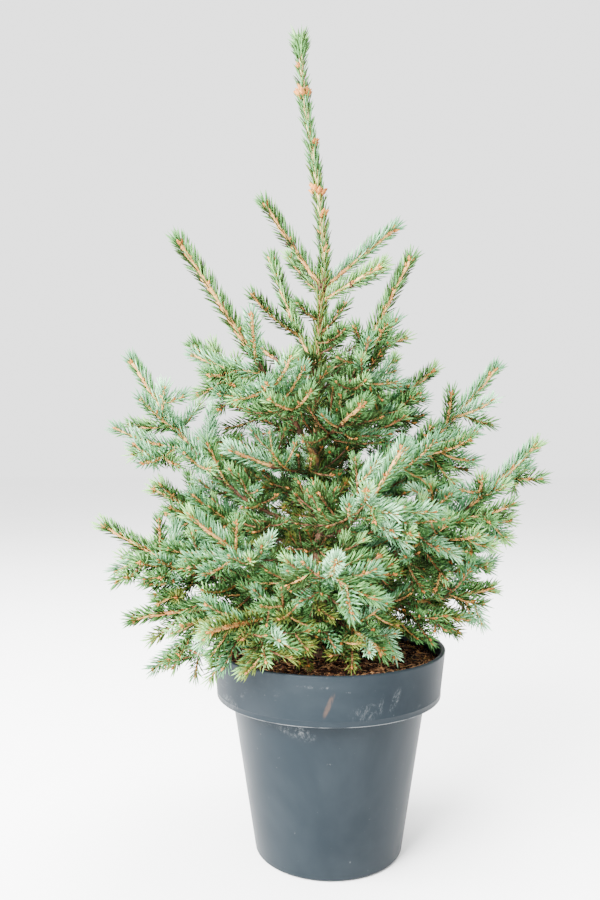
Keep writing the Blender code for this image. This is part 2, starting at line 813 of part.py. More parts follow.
def soil_profile():
    """The soil's outline, the gap clear of the pot's inner wall."""
    lip = 2 * EDGE_ROUND
    ledge = BAND_FOOT + WALL + EDGE_ROUND + 2 * GAP
    wall_rise = (RIM_RADIUS - BAND_RADIUS) / (POT_HEIGHT - EDGE_ROUND - BAND_FOOT - EDGE_ROUND)
    top_radius = BAND_RADIUS - lip + wall_rise * (SOIL_TOP - BAND_FOOT - WALL - EDGE_ROUND) - 2 * GAP
    return (
        (0.0, FLOOR + GAP),
        (BASE_RADIUS - WALL - BASE_EDGE - GAP, FLOOR + GAP),
        (BASE_RADIUS - WALL - 2 * GAP, FLOOR + BASE_EDGE + GAP),
        (NECK_RADIUS - WALL - 2 * GAP, BAND_FOOT + WALL + 2 * GAP),
        (BAND_RADIUS - lip - 3 * GAP, ledge),
        (top_radius, SOIL_TOP),
        (0.0, SOIL_TOP),
    )


def build():
    """Make every part of the plant and its pot."""
    plastic = plain_material("pot_plastic", (0.13, 0.16, 0.19), 0.55)
    peat = plain_material("peat", (0.03, 0.018, 0.012), 0.95)
    bark = plain_material("bark", (0.22, 0.11, 0.06), 0.85)
    needle = plain_material("needles", (0.13, 0.26, 0.16), 0.6)

    new_object("pot", turned_mesh("pot", pot_profile()), plastic)
    new_object("soil", turned_mesh("soil", soil_profile()), peat)
    new_object("trunk", trunk_mesh(), bark)
    for name, bough in BOUGHS.items():
        if bough.bare:
            new_object("bough_" + name, bough_mesh(name, bough), bark)

    crown = grow_crown()
    for name, bough in BOUGHS.items():
        shoots = [shoot for shoot in crown.shoots if shoot.mass == name]
        first_axes = way_axes(bough_way(bough, bough.bare)) if bough.bare else root_axes(bough)
        base = spray_object(crown, shoots[0], needle, first_axes)
        base.name = "foliage_" + name
        fuse(base, [spray_object(crown, shoot, needle) for shoot in shoots[1:]])
    twigs = [shoot for shoot in crown.shoots if shoot.mass == "internode"]
    sleeve = sleeve_object(crown, "internode", *INTERNODE_NEEDLES, needle)
    fuse(sleeve, [spray_object(crown, twig, needle) for twig in twigs])
    sleeve_object(crown, "leader", *LEADER_NEEDLES, needle, tuft=True)


def gather():
    """Parent every part to one empty at the plant's origin."""
    parts = list(bpy.data.objects)
    plant = bpy.data.objects.new("plant", None)
    bpy.context.scene.collection.objects.link(plant)
    for thing in parts:
        thing.parent = plant


def main():
    """Clear the scene, build the parts and gather them."""
    for thing in list(bpy.data.objects):
        bpy.data.objects.remove(thing)
    build()
    gather()


main()
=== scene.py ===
"""Looks of a potted black spruce: bark, twigs, needles, buds, peat and a weathered plastic pot.

The crown grows by the same seeded rule as the solids, and is carried on to finer twigs.
Lengths are metres, +Z is up and -Y is the front.
"""

import json
import logging
import math
import random
from dataclasses import dataclass, field, replace
from enum import Enum
from typing import Callable, Iterable, Optional, Sequence

import bmesh
import bpy
import numpy as np
from mathutils import Matrix, Vector, noise

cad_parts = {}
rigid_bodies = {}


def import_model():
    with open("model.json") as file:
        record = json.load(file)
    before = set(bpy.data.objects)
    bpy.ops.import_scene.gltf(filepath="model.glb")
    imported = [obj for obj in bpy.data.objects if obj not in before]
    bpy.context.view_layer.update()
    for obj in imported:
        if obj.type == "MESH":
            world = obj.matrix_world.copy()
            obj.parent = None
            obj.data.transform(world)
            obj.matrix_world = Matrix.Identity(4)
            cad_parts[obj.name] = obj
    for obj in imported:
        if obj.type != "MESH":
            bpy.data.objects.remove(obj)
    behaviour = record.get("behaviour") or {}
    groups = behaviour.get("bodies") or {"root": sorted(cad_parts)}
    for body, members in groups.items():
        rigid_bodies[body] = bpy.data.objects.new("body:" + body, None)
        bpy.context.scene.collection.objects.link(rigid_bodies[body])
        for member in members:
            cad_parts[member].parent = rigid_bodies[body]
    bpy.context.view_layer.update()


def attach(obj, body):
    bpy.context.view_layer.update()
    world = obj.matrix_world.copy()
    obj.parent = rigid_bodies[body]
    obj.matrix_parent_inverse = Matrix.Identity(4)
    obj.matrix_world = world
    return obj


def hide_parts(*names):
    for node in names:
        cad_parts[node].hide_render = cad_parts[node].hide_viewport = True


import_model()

Pair = tuple[float, float]
Triple = tuple[float, float, float]
Socket = bpy.types.NodeSocket
Rng = np.random.Generator
Array = np.ndarray
Arrays = tuple[Array, Array]

LOG = logging.getLogger("spruce")
UP = np.array((0.0, 0.0, 1.0))
# The turn in degrees from one needle or twig to the next round a stem
GOLDEN_TURN = 137.508
# A direction whose level part is shorter than this counts as upright
UPRIGHT = 0.2
# A shorter length counts as this one, so that nothing is divided by nought
LEAST_LENGTH = 1e-12
# A point nearer to a limb's middle than this is left where it is
LEAST_RADIUS = 1e-5


def unit(way: Array) -> Array:
    """Scale one direction, or rows of them, to length one."""
    return way / np.maximum(np.linalg.norm(way, axis=-1, keepdims=True), LEAST_LENGTH)


def level_way(bearing: float) -> Array:
    """The level direction of a bearing in degrees from +X."""
    angle = math.radians(bearing)
    return np.array((math.cos(angle), math.sin(angle), 0.0))


def lifted_way(bearing: float, lift: float) -> Array:
    """The direction of a bearing, lifted above the level by an angle in degrees."""
    angle = math.radians(lift)
    return level_way(bearing) * math.cos(angle) + UP * math.sin(angle)


def bearing_of(way: Array) -> float:
    """The bearing of a direction in degrees."""
    return math.degrees(math.atan2(way[1], way[0]))


def square_axes(tangents: Array) -> Arrays:
    """The left and up directions square to rows of tangents.

    Args:
        tangents: Rows of unit directions.

    Returns:
        Rows of left directions and rows of up directions.
    """
    left = np.cross(np.broadcast_to(UP, tangents.shape), tangents)
    steep = np.linalg.norm(left, axis=1) < UPRIGHT
    left[steep] = np.cross(np.array((0.0, 1.0, 0.0)), tangents[steep])
    left = unit(left)
    return left, np.cross(tangents, left)


def line_length(line: Array) -> float:
    """The length along a line of points."""
    return float(np.linalg.norm(np.diff(line, axis=0), axis=1).sum())


def points_along(line: Array, shares: Array) -> Arrays:
    """Read points and directions at shares of a line's length.

    Args:
        line: Rows of points.
        shares: Shares of the length, each from 0 to 1.

    Returns:
        Rows of points and rows of unit directions.
    """
    steps = np.linalg.norm(np.diff(line, axis=0), axis=1)
    run = np.concatenate(((0.0,), np.cumsum(steps)))
    wanted = np.clip(shares, 0.0, 1.0) * run[-1]
    points = np.stack([np.interp(wanted, run, line[:, k]) for k in range(3)], axis=1)
    slopes = np.gradient(line, axis=0)
    ways = np.stack([np.interp(wanted, run, slopes[:, k]) for k in range(3)], axis=1)
    return points, unit(ways)


@dataclass(frozen=True)
class Curve:
    """A smooth curve of one value over height, through a few (height, value) rows."""

    rows: tuple[Pair, ...]

    def at(self, height: float) -> float:
        """Read the value at a height.

        Args:
            height: The height, which may lie outside the rows.

        Returns:
            The value, held at the first and the last row's beyond them.
        """
        rows = self.rows
        last = len(rows) - 2
        row = next((i for i in range(last) if height < rows[i + 1][0]), last)
        low, high = rows[row], rows[row + 1]
        before, after = rows[max(row - 1, 0)], rows[min(row + 2, last + 1)]
        span = high[0] - low[0]
        share = min(max((height - low[0]) / span, 0.0), 1.0)
        slope_low = (high[1] - before[1]) / (high[0] - before[0]) * span
        slope_high = (after[1] - low[1]) / (after[0] - low[0]) * span
        square, cube = share**2, share**3
        return (
            (2 * cube - 3 * square + 1) * low[1]
            + (cube - 2 * square + share) * slope_low
            + (3 * square - 2 * cube) * high[1]
            + (cube - square) * slope_high
        )


@dataclass(frozen=True)
class TrunkForm:
    """The trunk's sweep, taper and ends, and the whorls that swell it."""

    soil: float = 0.212
    tip: float = 0.907
    sides: int = 8
    sweep: Curve = Curve(
        (
            (0.212, -0.004), (0.3, -0.01), (0.36, -0.012), (0.44, -0.012), (0.52, -0.013),
            (0.625, -0.007), (0.67, -0.005), (0.74, -0.012), (0.795, -0.02), (0.845, -0.028),
            (0.91, -0.032),
        )
    )
    radii: Curve = Curve(
        (
            (0.212, 0.013), (0.218, 0.0105), (0.235, 0.0088), (0.3, 0.0072), (0.43, 0.0052),
            (0.52, 0.0041), (0.625, 0.0032), (0.75, 0.0023), (0.907, 0.0012),
        )
    )

    def point(self, height: float) -> Array:
        """The middle of the trunk at a height."""
        return np.array((self.sweep.at(height), 0.0, height))

    def radius(self, height: float) -> float:
        """The trunk's radius at a height."""
        return self.radii.at(height)

    def line(self, low: float, high: float, step: float) -> Array:
        """Points of the trunk's middle between two heights, about a step apart."""
        count = max(2, round((high - low) / step))
        return np.array([self.point(low + (high - low) * i / count) for i in range(count + 1)])


TRUNK = TrunkForm()
# The gap between the solids of a mass and of the trunk
GAP = 0.0003
# A bough's radius at its tip and at its root, what its length adds at the root, and its taper
BOUGH_TIP = 0.001
BOUGH_ROOT = 0.0011
BOUGH_ROOT_MORE = 0.0052
BOUGH_TAPER = 1.2


@dataclass(frozen=True)
class BoughPlan:
    """One bough and its foliage: where it leaves the trunk and how it runs to its tip."""

    height: float
    bearing: float
    reach: float
    rise: float
    dip: float
    swing: float
    bare: float

    def point(self, share: float) -> Array:
        """Find a point of the middle line.

        Args:
            share: Its place, from the trunk's axis at 0 to the tip at 1.

        Returns:
            The point.
        """
        bend = 4 * share * (1 - share)
        way = level_way(self.bearing) * (self.reach * share)
        aside = level_way(self.bearing + 90) * (self.swing * bend)
        return TRUNK.point(self.height) + way + aside + UP * (self.rise * share - self.dip * bend)

    def points(self, first: float, last: float, count: int) -> Array:
        """Points of the middle line between two shares."""
        return np.array([self.point(first + (last - first) * i / count) for i in range(count + 1)])

    def length(self) -> float:
        """The length from the trunk's axis to the tip."""
        return line_length(self.points(0.0, 1.0, 12))

    def radius(self, share: float) -> float:
        """The radius, which tapers to the tip."""
        root = BOUGH_ROOT + BOUGH_ROOT_MORE * self.length()
        return BOUGH_TIP + (root - BOUGH_TIP) * (1 - share) ** BOUGH_TAPER

    def root_share(self) -> float:
        """The share that lies inside the trunk, with the gap round it."""
        corner = 360 / TRUNK.sides
        off_corner = (self.bearing + 0.5 * corner) % corner - 0.5 * corner
        side = TRUNK.radius(self.height) * math.cos(math.radians(off_corner))
        return (side + GAP) / self.reach

    def first_share(self) -> float:
        """The share at which the foliage begins."""
        return max(self.bare, self.root_share())


@dataclass(frozen=True)
class SidePlan:
    """A side shoot: its place along the bough, its turn from it, its lift and its length."""

    share: float
    turn: float
    lift: float
    length: float


# Each bough: its height, bearing, reach, rise, dip and swing, and how far it is bare
BOUGH_ROWS = {
    "top_left": (0.627, -155, 0.072, 0.088, 0.0, -0.003, 0.0),
    "top_back_left": (0.62, 125, 0.066, 0.055, 0.004, 0.0, 0.0),
    "top_right": (0.625, 15, 0.09, 0.077, 0.0, 0.0, 0.0),
    "top_front_right": (0.611, -40, 0.085, 0.03, 0.0, 0.0, 0.0),
    "upper_left": (0.538, 145, 0.066, 0.133, 0.01, 0.003, 0.0),
    "upper_back_left": (0.522, 165, 0.095, 0.062, 0.006, 0.0, 0.0),
    "upper_right": (0.52, 30, 0.083, 0.06, 0.007, -0.003, 0.0),
    "upper_back": (0.531, 85, 0.1, 0.08, 0.006, 0.0, 0.0),
    "middle_front_left": (0.43, -137, 0.19, 0.218, 0.018, 0.02, 0.2),
    "middle_left_low": (0.418, -152, 0.11, 0.028, 0.006, 0.0, 0.0),
    "middle_right_steep": (0.437, -24, 0.11, 0.215, 0.0, -0.006, 0.2),
    "middle_left": (0.446, 180, 0.142, 0.118, 0.0, 0.0, 0.26),
    "middle_right": (0.438, 12, 0.14, 0.1, 0.005, 0.003, 0.22),
    "middle_back_right": (0.449, 45, 0.14, 0.11, 0.01, 0.008, 0.0),
    "middle_back": (0.444, 100, 0.132, 0.127, 0.015, -0.014, 0.22),
    "middle_front_right": (0.45, -65, 0.11, 0.042, 0.0, 0.0, 0.0),
    "broad_left": (0.359, -174, 0.208, 0.186, 0.044, 0.01, 0.3),
    "broad_left_low": (0.33, 168, 0.2, 0.068, 0.006, -0.006, 0.28),
    "broad_right": (0.365, 0, 0.203, 0.173, 0.021, 0.0, 0.3),
    "broad_front_right": (0.347, -58, 0.153, 0.103, 0.028, -0.006, 0.25),
    "broad_back_left": (0.372, 138, 0.205, 0.09, 0.006, -0.011, 0.28),
    "broad_back_right": (0.36, 36, 0.19, 0.058, -0.005, 0.001, 0.28),
    "broad_back": (0.385, 88, 0.17, 0.1, 0.01, 0.006, 0.0),
    "low_left": (0.286, -173, 0.241, 0.077, 0.02, 0.005, 0.32),
    "low_right": (0.297, -7, 0.239, 0.154, 0.025, -0.004, 0.34),
    "low_right_back": (0.288, 20, 0.222, 0.043, 0.008, 0.01, 0.3),
    "low_front": (0.286, -87, 0.19, 0.06, 0.006, 0.0, 0.24),
    "low_front_left": (0.29, -138, 0.178, 0.091, 0.014, 0.005, 0.24),
    "low_back_left": (0.296, 145, 0.242, 0.068, 0.015, -0.018, 0.3),
    "low_back": (0.3, 98, 0.205, 0.085, 0.015, 0.01, 0.0),
    "low_back_right": (0.296, 50, 0.235, 0.085, 0.013, 0.013, 0.3),
    "skirt_left": (0.25, -171, 0.213, 0.009, -0.014, 0.004, 0.0),
    "skirt_front_left": (0.246, -127, 0.188, 0.026, -0.008, -0.003, 0.0),
    "skirt_front_right": (0.25, -60, 0.12, -0.01, -0.014, -0.01, 0.0),
    "skirt_right": (0.256, 3, 0.197, 0.03, 0.0, -0.006, 0.0),
    "skirt_back_left": (0.252, 125, 0.22, 0.03, 0.0, -0.01, 0.0),
    "skirt_back_right": (0.252, 70, 0.21, 0.025, 0.0, 0.008, 0.0),
}
BOUGHS = {name: BoughPlan(*row) for name, row in BOUGH_ROWS.items()}

# Side shoots given one by one: the share of the bough, the turn, the lift and the length
SIDE_ROWS = {
    "top_front_right": ((0.5, 55, 25, 0.04),),
    "upper_left": ((0.3, 80, 25, 0.085), (0.4, -40, 40, 0.065)),
    "middle_left_low": ((0.45, -40, 35, 0.055), (0.2, 60, 20, 0.055)),
    "middle_right_steep": ((0.57, 35, 10, 0.045), (0.38, -25, 30, 0.055)),
    "middle_right": ((0.62, -80, 25, 0.045), (0.55, 30, -5, 0.05)),
    "middle_left": ((0.61, 35, 15, 0.05), (0.55, -35, 0, 0.053), (0.71, -55, 45, 0.055)),
    "middle_front_right": ((0.5, 55, 10, 0.045), (0.45, -50, 15, 0.045)),
    "broad_left": (
        (0.7, -130, 45, 0.045), (0.7, 45, 35, 0.06), (0.62, 15, 15, 0.088), (0.57, -100, 50, 0.08),
        (0.52, 60, 20, 0.06),
    ),
    "broad_left_low": ((0.75, 60, 30, 0.06), (0.7, -30, -10, 0.045)),
    "broad_right": (
        (0.74, -40, 20, 0.05), (0.69, -90, 45, 0.05), (0.53, -60, 50, 0.04), (0.63, 50, 10, 0.053),
        (0.5, 40, -10, 0.064),
    ),
    "broad_front_right": ((0.56, -35, 20, 0.07), (0.62, 20, -5, 0.075), (0.5, 35, 0, 0.09)),
    "low_right": (
        (0.81, 45, 15, 0.06), (0.71, -90, 35, 0.045), (0.66, 60, 10, 0.06), (0.58, 95, 40, 0.065),
        (0.54, -110, 55, 0.06), (0.6, -30, 15, 0.072),
    ),
    "low_left": (
        (0.72, 90, 60, 0.05), (0.67, -95, 55, 0.06), (0.73, -40, -5, 0.06), (0.61, 60, 15, 0.055),
        (0.52, 70, 50, 0.065), (0.5, -30, -5, 0.08),
    ),
    "low_right_back": ((0.78, -45, -15, 0.045), (0.76, 50, 10, 0.052)),
    "low_front": (
        (0.7, 140, 55, 0.045), (0.6, -35, 25, 0.055), (0.62, 50, 15, 0.055), (0.45, -60, 20, 0.05),
    ),
    "low_front_left": ((0.55, 50, 10, 0.06), (0.5, -50, 15, 0.06)),
    "skirt_right": ((0.69, -65, 40, 0.06), (0.6, -60, -15, 0.05), (0.4, -60, 0, 0.075)),
    "skirt_left": (
        (0.72, -25, -40, 0.055), (0.58, 20, -40, 0.09), (0.62, -40, 15, 0.06), (0.5, 75, 0, 0.06),
    ),
    "skirt_front_left": (
        (0.62, 25, -10, 0.045), (0.4, 45, -10, 0.06), (0.34, 35, 35, 0.08), (0.7, -40, 30, 0.045),
    ),
    "skirt_front_right": ((0.35, 60, 25, 0.085), (0.4, -45, 5, 0.07), (0.55, 20, 35, 0.06)),
}
SIDES = {name: tuple(SidePlan(*row) for row in rows) for name, rows in SIDE_ROWS.items()}

# The height from which boughs are too young to branch, and the height over which they age
YOUNG_HEIGHT = 0.53
AGEING_HEIGHT = 0.13


def bough_age(height: float) -> float:
    """How old a bough that leaves the trunk at a height is, from 0 at the top to 1 low down."""
    return min(max((YOUNG_HEIGHT - height) / AGEING_HEIGHT, 0.0), 1.0)


def mass_age(mass: str) -> float:
    """How old the bough of a mass is, from 0 to 1."""
    return bough_age(BOUGHS[mass].height) if mass in BOUGHS else 0.0


# Twigs of the trunk between the two top whorls: height, bearing, lift and length
INTERNODE_TWIGS = (
    (0.577, -45, 38, 0.046),
    (0.59, -135, 25, 0.036),
    (0.567, 45, 20, 0.042),
    (0.564, -70, 5, 0.07),
)


class Tint(Enum):
    """The needle colours that are dealt out by spray."""

    DEEP = "needle_deep"
    GREEN = "needle_green"
    BLUE = "needle_blue"
    PALE = "needle_pale"
    OLIVE = "needle_olive"
    FRESH = "needle_fresh"


# The colours that a spray's needles take in place of its own, as painted shade and as painted highlight
PAINTED_SHADE_HIGHLIGHT = {
    Tint.DEEP: (Tint.DEEP, Tint.GREEN),
    Tint.OLIVE: (Tint.DEEP, Tint.GREEN),
    Tint.GREEN: (Tint.DEEP, Tint.FRESH),
    Tint.BLUE: (Tint.GREEN, Tint.PALE),
    Tint.PALE: (Tint.BLUE, Tint.PALE),
    Tint.FRESH: (Tint.GREEN, Tint.FRESH),
}
# The masses over the rim in front and at the right, whose fine twigs go on further out
RIM_SIDE = (
    *("low_right", "low_right_back", "low_back_right", "low_front"),
    *("skirt_right", "skirt_back_right", "skirt_front_left", "skirt_front_right"),
)


@dataclass
class Shoot:
    """One shoot of a mass: its line of points, its radius at the root and its look."""

    mass: str
    line: Array
    root_radius: float
    order: int
    tint: Tint = Tint.GREEN
    tip_tint: Tint = Tint.GREEN
    depth: float = 1.0
    fullness: float = 1.0
    vigour: float = 1.0
    stout: float = 1.0
    tip_radius: float = 0.0013
    thick: float = 1.25

    def length(self) -> float:
        """The length along the line."""
        return line_length(self.line)

    def radii(self, shares: Array) -> Array:
        """The twig's radius at shares of its length."""
        root = self.root_radius * self.thick
        return root + (self.tip_radius - root) * shares

    def at(self, share: float) -> Arrays:
        """Find a place along the line.

        Args:
            share: The share of the length.

        Returns:
            The point and the unit direction.
        """
        wanted = share * self.length()
        last = len(self.line) - 2
        for i, (a, b) in enumerate(zip(self.line, self.line[1:])):
            step = float(np.linalg.norm(b - a))
            if wanted <= step or i == last:
                return a + (b - a) * (wanted / step), (b - a) / step
            wanted -= step
        return self.line[-1], unit(self.line[-1] - self.line[-2])


@dataclass(frozen=True)
class CrownShape:
    """The cone that the crown fills, to tell how deep inside it a place is."""

    foot: float = 0.25
    height: float = 0.62
    reach: float = 0.235
    least: float = 0.04

    def depth(self, point: Array) -> float:
        """Tell how far out a point is.

        Args:
            point: The point.

        Returns:
            From 0 at the trunk to about 1 at the crown's edge.
        """
        axis = TRUNK.point(min(max(point[2], TRUNK.soil), TRUNK.tip))
        edge = self.reach * (1 - (point[2] - self.foot) / self.height)
        return math.hypot(point[0] - axis[0], point[1] - axis[1]) / max(edge, self.least)


CROWN_SHAPE = CrownShape()


@dataclass
class Clearance:
    """The room that a shoot needs round itself."""

    other: float = 0.0125
    own: float = 0.01
    named: float = 0.0075
    trunk: float = 0.012
    pot: float = 0.011
    root: float = 0.013
    fine_inner: float = 0.0074
    fine_outer: float = 0.0135
    crowded_to: float = 0.42
    open_from: float = 0.88
    rim_radius: float = 0.13
    rim_height: float = 0.225

    def fine(self, depth: float) -> float:
        """The room that a fine twig needs, which grows from the crown's heart to its edge."""
        share = (depth - self.crowded_to) / (self.open_from - self.crowded_to)
        return self.fine_inner + (self.fine_outer - self.fine_inner) * min(max(share, 0.0), 1.0)

    def free(self, point: Array) -> bool:
        """Tell whether a point is clear of the trunk, the soil and the pot.

        Args:
            point: The point.

        Returns:
            True where it is clear.
        """
        if TRUNK.soil < point[2] < TRUNK.tip:
            axis = TRUNK.point(point[2])
            if math.hypot(point[0] - axis[0], point[1] - axis[1]) < self.trunk:
                return False
        out = math.hypot(point[0], point[1])
        if out < self.rim_radius - self.pot:
            return point[2] > TRUNK.soil + self.pot
        if out < self.rim_radius + self.pot:
            return point[2] > self.rim_height + self.pot
        return True


@dataclass(frozen=True)
class SideRule:
    """How side shoots follow one another along a stem, left and right by turns.

    A shoot turns less from its stem the further out it stands, takes a part of the stem's own
    lift, and is as long as a share of what is left of the stem.
    """

    turn: float = 62
    turn_less: float = 24
    turn_off: float = 8
    lift_kept: float = 0.5
    lifts: Pair = (-14, 26)
    reach: float = 0.5
    reach_more: Pair = (0.01, 0.022)
    shortest: float = 0.026
    longest: float = 0.08
    step: float = 0.016
    step_off: Pair = (0.85, 1.15)

    def plan(self, rng: random.Random, share: float, hand: int, way: Array, length: float) -> SidePlan:
        """Plan one side shoot.

        Args:
            rng: The source of chance.
            share: Its place along the stem.
            hand: The side of the stem that it stands on, 1 or -1.
            way: The stem's direction at its place.
            length: The stem's length.

        Returns:
            The plan.
        """
        turn = hand * (self.turn - self.turn_less * share + rng.uniform(-self.turn_off, self.turn_off))
        stem_lift = math.degrees(math.asin(np.clip(way[2], -1, 1)))
        lift = stem_lift * self.lift_kept + rng.uniform(*self.lifts)
        reach = self.reach * (1 - share) * length + rng.uniform(*self.reach_more)
        return SidePlan(share, turn, lift, min(max(reach, self.shortest), self.longest))


# The side shoots that the solids have too
SIDE_RULE = SideRule()
# The finer twigs, and those over the rim, which hang lower
FINE_RULE = SideRule(
    turn=60,
    turn_less=18,
    turn_off=12,
    lift_kept=0.6,
    lifts=(-34, 46),
    reach=0.66,
    reach_more=(0.006, 0.018),
    longest=0.062,
    step=0.011,
    step_off=(0.8, 1.2),
)
RIM_RULE = replace(FINE_RULE, lifts=(-58, 22))


@dataclass(frozen=True)
class TrunkTwigs:
    """The small twigs that stand on the trunk between its whorls; the lowest are long and flat."""

    low: float = 0.224
    high: float = 0.56
    step: float = 0.0038
    step_off: float = 0.3
    root: float = 0.6
    lifts: Pair = (5, 45)
    lengths: Pair = (0.03, 0.07)
    long_below: float = 0.29
    long_more: float = 0.035
    long_lift: float = 0.5


def from_heart(pair: Pair, outer: float) -> float:
    """A value between the crown's heart and its edge, from the heart's value and what the edge adds."""
    return pair[0] + pair[1] * outer


@dataclass(frozen=True)
class LookRule:
    """How needles and twigs look by where the tip of their shoot stands in the crown.

    A pair holds the value at the crown's heart and what the crown's edge adds to it. Pale sprays on the low
    edge that face front or back are a painted highlight.
    """

    # Where, and how often, low sprays at the crown's edge that face front or back turn pale as a painted
    # highlight
    painted_highlight_facing: float = 0.72
    painted_highlight_from: float = 0.74
    painted_highlight_below: float = 0.44
    painted_highlight_chance: float = 0.26
    fresh_from: float = 0.6
    fresh_chance: float = 0.28
    heart_to: float = 0.4
    heart_span: float = 0.45
    vigour: Pair = (0.76, 0.38)
    vigour_off: Pair = (0.94, 1.06)
    stout: Pair = (1.02, 0.5)
    fullness: Pair = (0.94, 0.1)
    thick: Pair = (0.85, 0.35)
    tip_radius: Pair = (0.0009, 0.0005)
    stem_vigour: Pair = (1.12, 1.2)
    stem_fullness: float = 1.35
    stem_thick: float = 1.4
    stem_tip_radius: float = 0.0021

    def deal(self, shoot: Shoot, rng: random.Random) -> None:
        """Give a shoot its needles' colours, fullness and vigour and its twig's thickness.

        Args:
            shoot: The shoot, which takes them.
            rng: The source of chance.
        """
        tip = shoot.line[-1]
        shoot.depth = CROWN_SHAPE.depth(tip)
        shoot.tint = TINT_ZONES.pick(rng.random(), shoot.depth, tip[2])
        shoot.tip_tint = shoot.tint
        out = math.hypot(tip[0] - TRUNK.point(TRUNK.soil)[0], tip[1])
        # A painted highlight: low sprays at the crown's edge that face front or back turn pale by chance
        painted_highlight_edge = shoot.depth > self.painted_highlight_from and tip[2] < self.painted_highlight_below
        if painted_highlight_edge and abs(tip[1]) > self.painted_highlight_facing * out and rng.random() < self.painted_highlight_chance:
            shoot.tint = Tint.PALE
            shoot.tip_tint = Tint.PALE
        elif shoot.depth > self.fresh_from and rng.random() < self.fresh_chance:
            shoot.tip_tint = Tint.FRESH
        outer = min(max((shoot.depth - self.heart_to) / self.heart_span, 0.0), 1.0)
        if mass_age(shoot.mass) == 0:
            outer = 1.0
        shoot.vigour = from_heart(self.vigour, outer) * rng.uniform(*self.vigour_off)
        shoot.stout = from_heart(self.stout, outer)
        shoot.fullness = from_heart(self.fullness, outer)
        shoot.thick = from_heart(self.thick, outer)
        shoot.tip_radius = from_heart(self.tip_radius, outer)
        if shoot.order == 0:
            shoot.thick = self.stem_thick
            shoot.tip_radius = self.stem_tip_radius
            shoot.fullness = self.stem_fullness
            shoot.vigour = rng.uniform(*self.stem_vigour)


